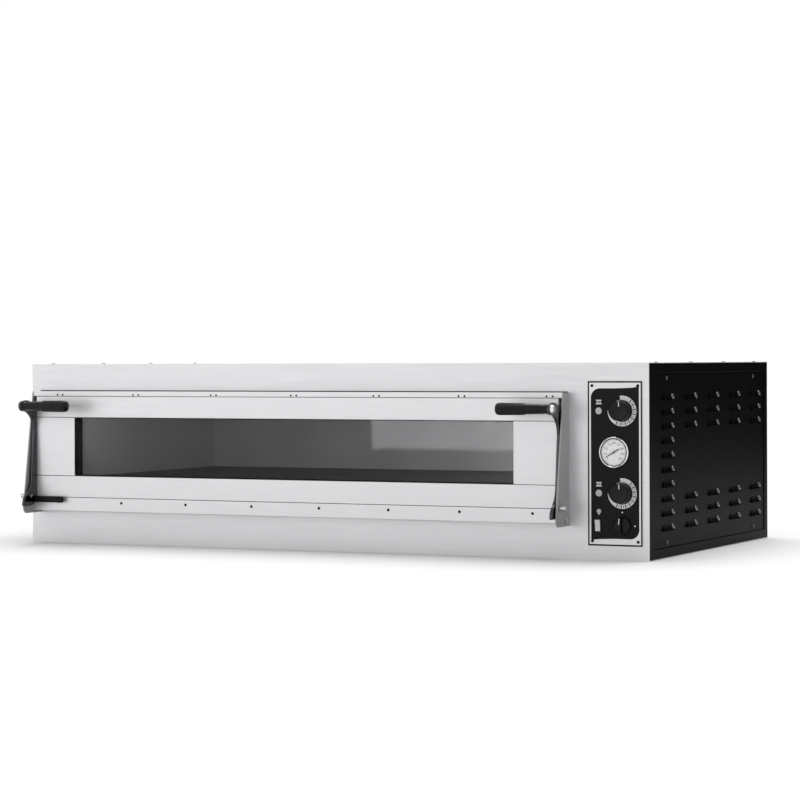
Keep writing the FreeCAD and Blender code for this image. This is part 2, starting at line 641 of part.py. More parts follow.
def build_front():
    """Write the fascia and the fixed pieces around the door."""
    save("front_fascia", fascia())
    save("door_lintel", lintel())
    save("door_sill", sill())
    screws = []
    for x in sill_screw_places():
        screws.append(screw(x, DOOR_FACE_Y, SILL_SCREW_Z, FORWARD, SILL_SCREW_RADIUS,
                            SILL_SCREW_HEAD_HEIGHT, SCREW_SHANK_RADIUS, SILL_SCREW_LENGTH))
    save("sill_screws", group(screws))
    save("cheek_left", cheek(CHEEK_LEFT_INNER - CHEEK_SHEET))
    save("cheek_right", cheek(CHEEK_RIGHT_INNER))
    outer_left = CHEEK_LEFT_INNER - CHEEK_SHEET
    outer_right = CHEEK_RIGHT_INNER + CHEEK_SHEET
    save("hinge_pins", group([hinge_pin(outer_left, -1), hinge_pin(outer_right, 1)]))
    save("cheek_bolts", group([hex_bolt(outer_left, -1), hex_bolt(outer_right, 1)]))


# ---- baking chamber ----
def element_legs():
    """Return the Y of the front leg of each heating element."""
    return spread(ELEMENT_PAIRS, FASCIA_BACK_Y + ELEMENT_FRONT_MARGIN,
                  CHAMBER_BACK_Y - ELEMENT_BACK_MARGIN - ELEMENT_LEG_SPACING)


def element_heights():
    """Return the axis heights of the upper and lower elements."""
    return CHAMBER_ROOF_Z - ELEMENT_ROOF_DROP, CHAMBER_FLOOR_Z + CHAMBER_SHEET + ELEMENT_FLOOR_RISE


def hairpin(y, z):
    """Return a heating rod bent back on itself, with both ends in the electrical compartment."""
    bend = ELEMENT_LEG_SPACING / 2
    bend_x = CHAMBER_LEFT + ELEMENT_END_MARGIN + bend
    end_x = COMPARTMENT_X + ELEMENT_TERMINAL_LENGTH
    legs = [rod(bend_x, y, z, ALONG_X, ELEMENT_RADIUS, end_x - bend_x)]
    legs.append(rod(bend_x, y + ELEMENT_LEG_SPACING, z, ALONG_X, ELEMENT_RADIUS, end_x - bend_x))
    section = Part.Face(Part.Wire(Part.makeCircle(ELEMENT_RADIUS, Vector(bend_x, y, z), ALONG_X)))
    legs.append(section.revolve(Vector(bend_x, y + bend, z), Vector(0, 0, -1), 180))
    return joined(legs)


def wall_passages():
    """Return the holes through the right wall, the insulation and the partition."""
    start = CHAMBER_RIGHT
    length = COMPARTMENT_X - CHAMBER_RIGHT
    holes = []
    radius = ELEMENT_RADIUS + ELEMENT_HOLE_CLEARANCE
    for y in element_legs():
        for z in element_heights():
            holes.append(rod(start, y, z, ALONG_X, radius, length))
            holes.append(rod(start, y + ELEMENT_LEG_SPACING, z, ALONG_X, radius, length))
    for y, z in bulb_places():
        holes.append(rod(start, y, z, ALONG_X, BULB_RADIUS, length))
    lamp_y, lamp_z = lamp_place()
    holes.append(rod(start, lamp_y, lamp_z, ALONG_X, LAMP_HOLDER_RADIUS, length))
    return holes


def bulb_places():
    """Return the (y, z) of the sensing bulbs above and below the stones."""
    y = CHAMBER_BACK_Y - BULB_Y_FROM_BACK
    return ((y, CHAMBER_ROOF_Z - BULB_UPPER_DROP), (y, STONE_BOTTOM_Z - BULB_LOWER_DROP))


def lamp_place():
    """Return the (y, z) of the chamber lamp."""
    return CHAMBER_BACK_Y - LAMP_Y_FROM_BACK, CHAMBER_ROOF_Z - LAMP_DROP


def saddles():
    """Return the plates that hang or stand each element leg off the chamber's sheet."""
    plates = []
    upper_z, lower_z = element_heights()
    floor = CHAMBER_FLOOR_Z + CHAMBER_SHEET
    edge = ELEMENT_RADIUS + ELEMENT_HOLE_CLEARANCE + SADDLE_THICKNESS
    spans = ((upper_z, upper_z - edge, CHAMBER_ROOF_Z), (lower_z, floor, lower_z + edge))
    for front_y in element_legs():
        for y in (front_y, front_y + ELEMENT_LEG_SPACING):
            for x in (CHAMBER_LEFT + SADDLE_END_INSET, CHAMBER_RIGHT - SADDLE_END_INSET):
                for z, z0, z1 in spans:
                    plate = block(x, x + SADDLE_THICKNESS, y - SADDLE_WIDTH / 2, y + SADDLE_WIDTH / 2, z0, z1)
                    plates.append(plate.cut(rod(x, y, z, ALONG_X, ELEMENT_RADIUS, SADDLE_THICKNESS)))
    return group(plates)


def stones():
    """Return the baking stones side by side."""
    clear_width = CHAMBER_WIDTH - 2 * STONE_EDGE_GAP - (STONE_COUNT - 1) * STONE_GAP
    width = clear_width / STONE_COUNT
    y0 = FASCIA_BACK_Y + STONE_EDGE_GAP
    y1 = CHAMBER_BACK_Y - STONE_EDGE_GAP
    slabs = []
    for i in range(STONE_COUNT):
        x = CHAMBER_LEFT + STONE_EDGE_GAP + i * (width + STONE_GAP)
        slabs.append(block(x, x + width, y0, y1, STONE_BOTTOM_Z, STONE_TOP_Z))
    return group(slabs)


def stone_bars():
    """Return the bars on edge that carry the stones, clear of the lower elements."""
    floor = CHAMBER_FLOOR_Z + CHAMBER_SHEET
    legs = element_legs()
    places = [FASCIA_BACK_Y + STONE_BAR_INSET, CHAMBER_BACK_Y - STONE_BAR_INSET]
    for front_leg, next_leg in zip(legs, legs[1:]):
        places.append((front_leg + ELEMENT_LEG_SPACING + next_leg) / 2)
    bars = []
    for y in sorted(places):
        bars.append(block(CHAMBER_LEFT, CHAMBER_RIGHT, y, y + STONE_BAR_SHEET, floor, STONE_BOTTOM_Z))
    return group(bars)


def insulation():
    """Return the slabs above, below, behind and beside the chamber."""
    left = -HALF_WIDTH + FRAME_FLANGE
    wall_left = CHAMBER_LEFT - CHAMBER_SHEET
    wall_right = CHAMBER_RIGHT + CHAMBER_SHEET
    front = FASCIA_BACK_Y
    wall_back = CHAMBER_BACK_Y + CHAMBER_SHEET
    back = wall_back + BACK_INSULATION
    roof = CHAMBER_ROOF_Z + CHAMBER_SHEET
    right = block(wall_right, PARTITION_X, front, wall_back, CHAMBER_FLOOR_Z, roof)
    return group([
        block(left, PARTITION_X, front, back, BASE_SHEET, CHAMBER_FLOOR_Z),
        block(left, PARTITION_X, front, back, roof, roof + ROOF_INSULATION),
        block(left, PARTITION_X, wall_back, back, CHAMBER_FLOOR_Z, roof),
        block(left, wall_left, front, wall_back, CHAMBER_FLOOR_Z, roof),
        right.cut(wall_passages()),
    ])


def build_chamber():
    """Write the chamber's sheets, stones, elements, insulation and lamp."""
    roof = CHAMBER_ROOF_Z + CHAMBER_SHEET
    wall_left = CHAMBER_LEFT - CHAMBER_SHEET
    wall_right = CHAMBER_RIGHT + CHAMBER_SHEET
    save("chamber_roof", block(CHAMBER_LEFT, CHAMBER_RIGHT, FASCIA_BACK_Y, CHAMBER_BACK_Y,
                               CHAMBER_ROOF_Z, roof))
    save("chamber_floor", block(CHAMBER_LEFT, CHAMBER_RIGHT, FASCIA_BACK_Y, CHAMBER_BACK_Y,
                                CHAMBER_FLOOR_Z, CHAMBER_FLOOR_Z + CHAMBER_SHEET))
    left_wall = block(wall_left, CHAMBER_LEFT, FASCIA_BACK_Y, CHAMBER_BACK_Y, CHAMBER_FLOOR_Z, roof)
    right_wall = block(CHAMBER_RIGHT, wall_right, FASCIA_BACK_Y, CHAMBER_BACK_Y, CHAMBER_FLOOR_Z, roof)
    save("chamber_sides", group([left_wall, right_wall.cut(wall_passages())]))
    save("chamber_back", block(wall_left, wall_right, CHAMBER_BACK_Y, CHAMBER_BACK_Y + CHAMBER_SHEET,
                               CHAMBER_FLOOR_Z, roof))
    save("baking_stones", stones())
    save("stone_supports", stone_bars())
    pins = [hairpin(y, z) for y in element_legs() for z in element_heights()]
    save("heating_elements", group(pins))
    save("element_saddles", saddles())
    save("insulation", insulation())
    lamp_y, lamp_z = lamp_place()
    save("lamp_holder", rod(CHAMBER_RIGHT, lamp_y, lamp_z, ALONG_X, LAMP_HOLDER_RADIUS,
                            COMPARTMENT_X - CHAMBER_RIGHT + LAMP_GLASS_THICKNESS))
    save("lamp_glass", rod(CHAMBER_RIGHT, lamp_y, lamp_z, -ALONG_X, LAMP_GLASS_RADIUS, LAMP_GLASS_THICKNESS))
    bulbs = []
    for y, z in bulb_places():
        bulbs.append(rod(CHAMBER_RIGHT - BULB_LENGTH, y, z, ALONG_X, BULB_RADIUS,
                         BULB_LENGTH + COMPARTMENT_X - CHAMBER_RIGHT + ELEMENT_TERMINAL_LENGTH))
    save("sensing_bulbs", group(bulbs))


# ---- electrical compartment ----
def build_electrics():
    """Write the partition, the contactors with their terminal block, and the cable gland."""
    wall_back = CHAMBER_BACK_Y + CHAMBER_SHEET + BACK_INSULATION
    roof = CHAMBER_ROOF_Z + CHAMBER_SHEET + ROOF_INSULATION
    partition = block(PARTITION_X, COMPARTMENT_X, FASCIA_BACK_Y, wall_back, BASE_SHEET, roof)
    save("electrics_partition", partition.cut(wall_passages()))
    depth, width, height = GEAR_CONTACTOR
    gear = []
    contactor_y = BACK_COVER_Y - GEAR_CONTACTOR_FROM_BACK
    for y in (contactor_y, contactor_y + GEAR_CONTACTOR_PITCH):
        gear.append(block(COMPARTMENT_X, COMPARTMENT_X + depth, y, y + width,
                          GEAR_CONTACTOR_Z, GEAR_CONTACTOR_Z + height))
    depth, width, height = GEAR_TERMINALS
    terminal_y = BACK_COVER_Y - GEAR_TERMINAL_FROM_BACK
    gear.append(block(COMPARTMENT_X, COMPARTMENT_X + depth, terminal_y, terminal_y + width,
                      GEAR_TERMINAL_Z, GEAR_TERMINAL_Z + height))
    save("control_gear", group(gear))
    save("cable_gland", cable_gland())


def cable_gland():
    """Return the gland through the back cover: locknut inside, nut and dome outside, bored right through."""
    outward = -FORWARD
    inner_y = BACK_COVER_Y - GLAND_LOCKNUT_LENGTH
    thread_length = GLAND_LOCKNUT_LENGTH + COVER_SHEET
    body = joined([
        rod(GLAND_X, BACK_Y, GLAND_Z, outward, GLAND_NUT_RADIUS, GLAND_NUT_LENGTH),
        rod(GLAND_X, BACK_Y + GLAND_NUT_LENGTH, GLAND_Z, outward, GLAND_DOME_RADIUS, GLAND_DOME_LENGTH),
        rod(GLAND_X, inner_y, GLAND_Z, outward, GLAND_THREAD_RADIUS, thread_length),
        rod(GLAND_X, inner_y, GLAND_Z, outward, GLAND_NUT_RADIUS, GLAND_LOCKNUT_LENGTH),
    ])
    bore_length = thread_length + GLAND_NUT_LENGTH + GLAND_DOME_LENGTH
    return body.cut(rod(GLAND_X, inner_y, GLAND_Z, outward, GLAND_BORE_RADIUS, bore_length))


# ---- door leaf ----
def door_top_proud_z(proud):
    """Return the height of the door's top edge that swings clear below the lintel's lip."""
    lip = PIVOT_PROUD - SURROUND_PROUD
    reach = LINTEL_BOTTOM_Z - DOOR_TOP_SWING_CLEARANCE - PIVOT_Z
    radius_squared = lip ** 2 + reach ** 2
    return PIVOT_Z + math.sqrt(radius_squared - (PIVOT_PROUD - proud) ** 2) - DOOR_TOP_SWING_CLEARANCE


def upper_rail():
    """Return the folded upper rail, whose top slopes back to clear the lintel as the door swings."""
    frame_face = DOOR_BACK_PROUD + INNER_FRAME_SHEET
    back_top = door_top_proud_z(frame_face)
    front_top = door_top_proud_z(SURROUND_PROUD)
    bottom = WINDOW_TOP_Z
    outer = [
        line((frame_face, bottom), (SURROUND_PROUD, bottom)),
        line((SURROUND_PROUD, bottom), (SURROUND_PROUD, front_top)),
        line((SURROUND_PROUD, front_top), (frame_face, back_top)),
        line((frame_face, back_top), (frame_face, bottom)),
    ]
    face = SURROUND_PROUD - DOOR_SHEET
    inner = [
        line((frame_face, bottom), (face, bottom)),
        line((face, bottom), (face, front_top - DOOR_SHEET * 1.1)),
        line((face, front_top - DOOR_SHEET * 1.1), (frame_face, back_top - DOOR_SHEET)),
        line((frame_face, back_top - DOOR_SHEET), (frame_face, bottom)),
    ]
    shell = profile_solid(outer, DOOR_LEFT, DOOR_WIDTH)
    return shell.cut(profile_solid(inner, DOOR_LEFT + DOOR_SHEET, DOOR_WIDTH - 2 * DOOR_SHEET))


def lower_rail():
    """Return the folded lower rail."""
    frame_face = FRONT_Y - DOOR_BACK_PROUD - INNER_FRAME_SHEET
    outer = block(DOOR_LEFT, DOOR_RIGHT, DOOR_FACE_Y, frame_face, DOOR_BOTTOM_Z, WINDOW_BOTTOM_Z)
    inner = block(DOOR_LEFT + DOOR_SHEET, DOOR_RIGHT - DOOR_SHEET, DOOR_FACE_Y + DOOR_SHEET, frame_face,
                  DOOR_BOTTOM_Z + DOOR_SHEET, WINDOW_BOTTOM_Z)
    return outer.cut(inner)


def stile(x_end, side):
    """Return one folded stile, where side points from the window to the door's end."""
    frame_face = FRONT_Y - DOOR_BACK_PROUD - INNER_FRAME_SHEET
    z0 = WINDOW_BOTTOM_Z + JOINT_GAP
    z1 = WINDOW_TOP_Z - JOINT_GAP
    x_window = x_end - side * STILE_WIDTH
    x_wall = x_end - side * DOOR_SHEET
    face = block(min(x_window, x_end), max(x_window, x_end), DOOR_FACE_Y, DOOR_FACE_Y + DOOR_SHEET, z0, z1)
    wall = block(min(x_wall, x_end), max(x_wall, x_end), DOOR_FACE_Y, frame_face, z0, z1)
    return joined([face, wall])


def ring(y0, y1, outer, inner):
    """Return a flat frame between two planes square to Y from (x0, x1, z0, z1) limits."""
    solid = block(outer[0], outer[1], y0, y1, outer[2], outer[3])
    return solid.cut(block(inner[0], inner[1], y0, y1, inner[2], inner[3]))


def build_door_leaf():
    """Write the door's rails, stiles, panes, frames and gasket."""
    save("door_upper_rail", upper_rail())
    save("door_lower_rail", lower_rail())
    save("door_stiles", group([stile(DOOR_LEFT, -1), stile(DOOR_RIGHT, 1)]))
    window = (WINDOW_LEFT, WINDOW_RIGHT, WINDOW_BOTTOM_Z, WINDOW_TOP_Z)
    pane = (WINDOW_LEFT - GLASS_OVERLAP, WINDOW_RIGHT + GLASS_OVERLAP,
            WINDOW_BOTTOM_Z - GLASS_OVERLAP, WINDOW_TOP_Z + GLASS_OVERLAP)
    outer_y = DOOR_FACE_Y + DOOR_SHEET
    frame_y = FRONT_Y - DOOR_BACK_PROUD - INNER_FRAME_SHEET
    save("outer_glass", block(pane[0], pane[1], outer_y, outer_y + GLASS_THICKNESS, pane[2], pane[3]))
    save("inner_glass", block(pane[0], pane[1], frame_y - GLASS_THICKNESS, frame_y, pane[2], pane[3]))
    save("glass_spacer", ring(outer_y + GLASS_THICKNESS, frame_y - GLASS_THICKNESS, pane, window))
    frame_top = door_top_proud_z(DOOR_BACK_PROUD)
    frame_limits = (DOOR_LEFT, DOOR_RIGHT, DOOR_BOTTOM_Z, frame_top)
    save("door_inner_frame", ring(frame_y, frame_y + INNER_FRAME_SHEET, frame_limits, window))
    margin = GASKET_MOUTH_MARGIN
    mouth = (MOUTH_LEFT - margin, MOUTH_RIGHT + margin, MOUTH_BOTTOM_Z - margin, MOUTH_TOP_Z + margin)
    seal = (mouth[0] - GASKET_WIDTH, mouth[1] + GASKET_WIDTH,
            mouth[2] - GASKET_WIDTH, mouth[3] + GASKET_WIDTH)
    save("door_gasket", ring(FRONT_Y - DOOR_BACK_PROUD, FRONT_Y - GASKET_GAP, seal, mouth))


# ---- levers and grips ----
def lever(x0):
    """Return a cast lever: pivot hub with a toe that stops the open door, arm and grip boss."""
    hub = (PIVOT_PROUD, PIVOT_Z)
    low = PIVOT_Z - LEVER_HUB_RADIUS
    left = PIVOT_PROUD - LEVER_HUB_RADIUS
    diagonal = LEVER_HUB_RADIUS * math.cos(math.pi / 4)
    toe_corner = (LEVER_TOE_PROUD, low + 2.0)
    flare_mid = (LEVER_TOE_PROUD - 3.0, low + 16.0)
    flare_end = (LEVER_TOE_PROUD - 12.0, low + 27.0)
    neck_mid = (PIVOT_PROUD + 4.5, low + 42.0)
    neck_end = (PIVOT_PROUD - 2.5, low + 64.0)
    arm_top = (PIVOT_PROUD - 11.5, GRIP_Z - 67.0)
    hook_mid = (PIVOT_PROUD - 2.0, GRIP_Z - 27.0)
    boss_low = (GRIP_PROUD, GRIP_Z - GRIP_BOSS_RADIUS)
    boss_front = (GRIP_PROUD + GRIP_BOSS_RADIUS, GRIP_Z)
    boss_high = (GRIP_PROUD, GRIP_Z + GRIP_BOSS_RADIUS)
    back_mid = (PIVOT_PROUD - 20.0, GRIP_Z - 1.0)
    rear_top = (LEVER_REAR_PROUD, GRIP_Z - 47.0)
    rear_low = (LEVER_REAR_PROUD, PIVOT_Z + 14.5)
    edges = [
        line((PIVOT_PROUD, low), (LEVER_TOE_PROUD - 2.0, low)),
        line((LEVER_TOE_PROUD - 2.0, low), toe_corner),
        arc(toe_corner, flare_mid, flare_end),
        arc(flare_end, neck_mid, neck_end),
        line(neck_end, arm_top),
        arc(arm_top, hook_mid, boss_low),
        arc(boss_low, boss_front, boss_high),
        arc(boss_high, back_mid, rear_top),
        line(rear_top, rear_low),
        line(rear_low, (left, PIVOT_Z)),
        arc((left, PIVOT_Z), (hub[0] - diagonal, hub[1] - diagonal), (PIVOT_PROUD, low)),
    ]
    plate = profile_solid(edges, x0, LEVER_THICKNESS)
    bores = [
        rod(x0, PIVOT_Y, PIVOT_Z, ALONG_X, PIN_RADIUS + PIN_RUNNING_CLEARANCE, LEVER_THICKNESS),
        rod(x0, GRIP_Y, GRIP_Z, ALONG_X, GRIP_ROD_RADIUS, LEVER_THICKNESS),
    ]
    for z in LEVER_SCREW_HEIGHTS:
        bores.append(rod(x0, FRONT_Y - LEVER_SCREW_PROUD, z, ALONG_X, SCREW_SHANK_RADIUS, LEVER_THICKNESS))
    return plate.cut(bores)


def grip(x_lever, inward):
    """Return a tapered grip from the lever inwards, widest at its rounded free end."""
    cone = Part.makeCone(GRIP_OUTER_RADIUS, GRIP_INNER_RADIUS, GRIP_LENGTH,
                         Vector(x_lever, GRIP_Y, GRIP_Z), Vector(inward, 0, 0))
    free_x = x_lever + inward * GRIP_LENGTH
    free_edges = [e for e in cone.Edges if e.BoundBox.XLength < 1 and abs(e.BoundBox.XMin - free_x) < 1]
    rounded = cone.makeFillet(GRIP_END_ROUND, free_edges)
    return rounded.cut(rod(x_lever, GRIP_Y, GRIP_Z, Vector(inward, 0, 0), GRIP_ROD_RADIUS, GRIP_ROD_DEPTH))


def grip_nut(x_outer, inward):
    """Return a domed nut outside the lever with the rod that it clamps in the grip."""
    outward = Vector(-inward, 0, 0)
    barrel = rod(x_outer, GRIP_Y, GRIP_Z, outward, GRIP_NUT_RADIUS, GRIP_NUT_LENGTH)
    free_x = x_outer - inward * GRIP_NUT_LENGTH
    free_edges = [e for e in barrel.Edges if e.BoundBox.XLength < 1 and abs(e.BoundBox.XMin - free_x) < 1]
    dome = barrel.makeFillet(GRIP_NUT_LENGTH / 2, free_edges)
    shank_length = LEVER_THICKNESS + GRIP_ROD_DEPTH
    shank = rod(x_outer, GRIP_Y, GRIP_Z, Vector(inward, 0, 0), GRIP_ROD_RADIUS, shank_length)
    return joined([dome, shank])


def build_levers():
    """Write both levers with their grips, nuts, screws and the left foot bar."""
    left_x = DOOR_LEFT - LEVER_THICKNESS
    save("lever_left", lever(left_x))
    save("lever_right", lever(DOOR_RIGHT))
    screws = []
    for z in LEVER_SCREW_HEIGHTS:
        y = FRONT_Y - LEVER_SCREW_PROUD
        screws.append(screw(left_x, y, z, -ALONG_X, LEVER_SCREW_RADIUS, LEVER_SCREW_HEAD_HEIGHT,
                            SCREW_SHANK_RADIUS, LEVER_THICKNESS))
        screws.append(screw(DOOR_RIGHT + LEVER_THICKNESS, y, z, ALONG_X, LEVER_SCREW_RADIUS,
                            LEVER_SCREW_HEAD_HEIGHT, SCREW_SHANK_RADIUS, LEVER_THICKNESS))
    save("lever_screws", group(screws))
    save("grips", group([grip(DOOR_LEFT, 1), grip(DOOR_RIGHT, -1)]))
    save("grip_nuts", group([grip_nut(left_x, 1), grip_nut(DOOR_RIGHT + LEVER_THICKNESS, -1)]))
    bar_y = FRONT_Y - FOOT_BAR_PROUD - FOOT_BAR_THICKNESS
    save("foot_bar", block(DOOR_LEFT, DOOR_LEFT + FOOT_BAR_LENGTH, bar_y, bar_y + FOOT_BAR_THICKNESS,
                           FOOT_BAR_BOTTOM_Z, FOOT_BAR_BOTTOM_Z + FOOT_BAR_HEIGHT))


# ---- control panel ----
def control_screw_places():
    """Return the (x, z) of the four corner screws of the control plate."""
    x1 = HALF_WIDTH - CONTROL_PLATE_RIGHT_INSET
    x0 = x1 - CONTROL_PLATE_WIDTH
    z0 = CONTROL_PLATE_BOTTOM_Z
    z1 = CONTROL_PLATE_TOP_Z
    inset = CONTROL_SCREW_INSET
    return [(x, z) for x in (x0 + inset, x1 - inset) for z in (z0 + inset, z1 - inset)]


def control_holes(y0, length):
    """Return the holes for the controls through a sheet that starts at y0."""
    backward = -FORWARD
    holes = []
    for x, z in ((KNOB_X, UPPER_KNOB_Z), (KNOB_X, LOWER_KNOB_Z), (KNOB_X, SELECTOR_Z)):
        holes.append(rod(x, y0, z, backward, BUSHING_RADIUS, length))
    holes.append(rod(THERMOMETER_X, y0, THERMOMETER_Z, backward, THERMOMETER_BODY_RADIUS, length))
    for x, z, _radius in LAMP_PLACES:
        holes.append(rod(x, y0, z, backward, LAMP_BODY_RADIUS, length))
    for x, z in control_screw_places():
        holes.append(rod(x, y0, z, backward, SCREW_SHANK_RADIUS, length))
    half_x, half_z = rocker_case_half_sizes()
    holes.append(block(ROCKER_X - half_x, ROCKER_X + half_x, y0, y0 + length,
                       ROCKER_Z - half_z, ROCKER_Z + half_z))
    return holes


def control_plate():
    """Return the plate that carries the controls."""
    x1 = HALF_WIDTH - CONTROL_PLATE_RIGHT_INSET
    plate = block(x1 - CONTROL_PLATE_WIDTH, x1, PLATE_FACE_Y, FRONT_Y,
                  CONTROL_PLATE_BOTTOM_Z, CONTROL_PLATE_TOP_Z)
    return plate.cut(control_holes(PLATE_FACE_Y, CONTROL_PLATE_SHEET))


def switch_body(z, size):
    """Return a body behind the fascia with a bushing that stands through the control plate."""
    width, depth, height = size
    body = block(KNOB_X - width / 2, KNOB_X + width / 2, FASCIA_BACK_Y, FASCIA_BACK_Y + depth,
                 z - height / 2, z + height / 2)
    bushing_length = COVER_SHEET + CONTROL_PLATE_SHEET + BUSHING_PROUD
    bushing = rod(KNOB_X, FASCIA_BACK_Y, z, FORWARD, BUSHING_RADIUS, bushing_length)
    bore_depth = SPINDLE_TAIL + KNOB_GAP
    bore = rod(KNOB_X, FASCIA_BACK_Y + bore_depth, z, FORWARD, SPINDLE_RADIUS + PIN_RUNNING_CLEARANCE,
               bore_depth + bushing_length)
    return joined([body, bushing]).cut(bore)


def spindle(z, head_y):
    """Return the spindle of a knob from inside its body to inside the knob."""
    tail_y = FASCIA_BACK_Y + SPINDLE_TAIL
    return rod(KNOB_X, tail_y, z, FORWARD, SPINDLE_RADIUS, tail_y - head_y)


def thermostat_knob(z):
    """Return a round knob with an engraved pointer, hollow behind for the bushing, on its spindle."""
    back_y = PLATE_FACE_Y - KNOB_GAP
    front_y = back_y - KNOB_HEIGHT
    body = rod(KNOB_X, back_y, z, FORWARD, KNOB_RADIUS, KNOB_HEIGHT)
    front_edges = [e for e in body.Edges if e.BoundBox.YLength < 1 and abs(e.BoundBox.YMin - front_y) < 1]
    body = body.makeFillet(KNOB_EDGE_ROUND, front_edges)
    recess = rod(KNOB_X, back_y, z, FORWARD, KNOB_RECESS_RADIUS, KNOB_RECESS_DEPTH)
    bore_end = back_y - SPINDLE_BORE_DEPTH
    bore = rod(KNOB_X, back_y, z, FORWARD, SPINDLE_RADIUS, SPINDLE_BORE_DEPTH)
    pointer = block(KNOB_X - KNOB_POINTER_WIDTH / 2, KNOB_X + KNOB_POINTER_WIDTH / 2,
                    front_y, front_y + KNOB_POINTER_DEPTH, z + KNOB_RADIUS / 2, z + KNOB_RADIUS)
    return group([body.cut([recess, bore, pointer]), spindle(z, bore_end)])


def selector_knob():
    """Return the selector knob: a round skirt with a ridge across it, on its spindle."""
    back_y = PLATE_FACE_Y - KNOB_GAP
    skirt = rod(KNOB_X, back_y, SELECTOR_Z, FORWARD, SELECTOR_RADIUS, SELECTOR_SKIRT_HEIGHT)
    cap = rod(KNOB_X, back_y, SELECTOR_Z, FORWARD, SELECTOR_RADIUS - SELECTOR_RIDGE_INSET,
              SELECTOR_SKIRT_HEIGHT + SELECTOR_RIDGE_HEIGHT)
    half = SELECTOR_RIDGE_WIDTH / 2
    ridge_front = back_y - SELECTOR_SKIRT_HEIGHT - SELECTOR_RIDGE_HEIGHT
    ridge = cap.common(block(KNOB_X - half, KNOB_X + half, ridge_front, back_y,
                             SELECTOR_Z - SELECTOR_RADIUS, SELECTOR_Z + SELECTOR_RADIUS))
    recess = rod(KNOB_X, back_y, SELECTOR_Z, FORWARD, KNOB_RECESS_RADIUS, KNOB_RECESS_DEPTH)
    bore = rod(KNOB_X, back_y, SELECTOR_Z, FORWARD, SPINDLE_RADIUS, SPINDLE_BORE_DEPTH)
    knob = joined([skirt, ridge]).cut([recess, bore])
    return group([knob, spindle(SELECTOR_Z, back_y - SPINDLE_BORE_DEPTH)])


def thermometer():
    """Write the thermometer's case, dial, glass and needle."""
    front = PLATE_FACE_Y - THERMOMETER_BEZEL_DEPTH
    x = THERMOMETER_X
    z = THERMOMETER_Z
    cavity = THERMOMETER_BEZEL_RADIUS - THERMOMETER_BEZEL_LIP
    dial_back = PLATE_FACE_Y - THERMOMETER_DIAL_PROUD
    bezel = rod(x, PLATE_FACE_Y, z, FORWARD, THERMOMETER_BEZEL_RADIUS, THERMOMETER_BEZEL_DEPTH)
    body = rod(x, FRONT_Y + THERMOMETER_BODY_DEPTH, z, FORWARD, THERMOMETER_BODY_RADIUS,
               THERMOMETER_BODY_DEPTH + CONTROL_PLATE_SHEET)
    hollow = rod(x, dial_back, z, FORWARD, cavity, THERMOMETER_BEZEL_DEPTH)
    arbor_hole = rod(x, dial_back + NEEDLE_HUB_RADIUS, z, FORWARD,
                     NEEDLE_ARBOR_RADIUS + PIN_RUNNING_CLEARANCE, NEEDLE_HUB_RADIUS)
    save("thermometer_case", joined([bezel, body]).cut([hollow, arbor_hole]))
    dial = rod(x, dial_back, z, FORWARD, cavity, THERMOMETER_DIAL_SHEET)
    arbor_radius = NEEDLE_ARBOR_RADIUS + PIN_RUNNING_CLEARANCE
    dial_hole = rod(x, dial_back, z, FORWARD, arbor_radius, THERMOMETER_DIAL_SHEET)
    save("thermometer_dial", dial.cut(dial_hole))
    glass_y = front + THERMOMETER_GLASS_INSET + THERMOMETER_GLASS_SHEET
    save("thermometer_glass", rod(x, glass_y, z, FORWARD, cavity, THERMOMETER_GLASS_SHEET))
    dial_face = dial_back - THERMOMETER_DIAL_SHEET
    save("thermometer_needle", needle(x, dial_face - NEEDLE_LIFT, z, dial_back + NEEDLE_HUB_RADIUS / 2))


def needle(x, y, z, arbor_y):
    """Return the needle with its hub and arbor, pointing to the low end of the scale."""
    blade_points = [
        Vector(x - NEEDLE_TAIL, y, z - NEEDLE_ROOT_WIDTH / 2),
        Vector(x, y, z - NEEDLE_ROOT_WIDTH / 2),
        Vector(x + NEEDLE_LENGTH, y, z - NEEDLE_TIP_WIDTH / 2),
        Vector(x + NEEDLE_LENGTH, y, z + NEEDLE_TIP_WIDTH / 2),
        Vector(x, y, z + NEEDLE_ROOT_WIDTH / 2),
        Vector(x - NEEDLE_TAIL, y, z + NEEDLE_ROOT_WIDTH / 2),
    ]
    blade = Part.Face(Part.makePolygon(blade_points + [blade_points[0]])).extrude(FORWARD * NEEDLE_THICKNESS)
    hub = rod(x, y, z, FORWARD, NEEDLE_HUB_RADIUS, NEEDLE_THICKNESS)
    arbor = rod(x, arbor_y, z, FORWARD, NEEDLE_ARBOR_RADIUS, arbor_y - y)
    shape = joined([blade, hub, arbor])
    shape.rotate(Vector(x, y, z), FORWARD, NEEDLE_ANGLE_DEG)
    return shape


def rocker_case_half_sizes():
    """Return half the outer width and height of the rocker's case behind its bezel."""
    width, height = ROCKER_SIZE
    half_x = width / 2 + ROCKER_SIDE_CLEARANCE + ROCKER_WALL
    half_z = height / 2 + ROCKER_END_CLEARANCE + ROCKER_WALL
    return half_x, half_z


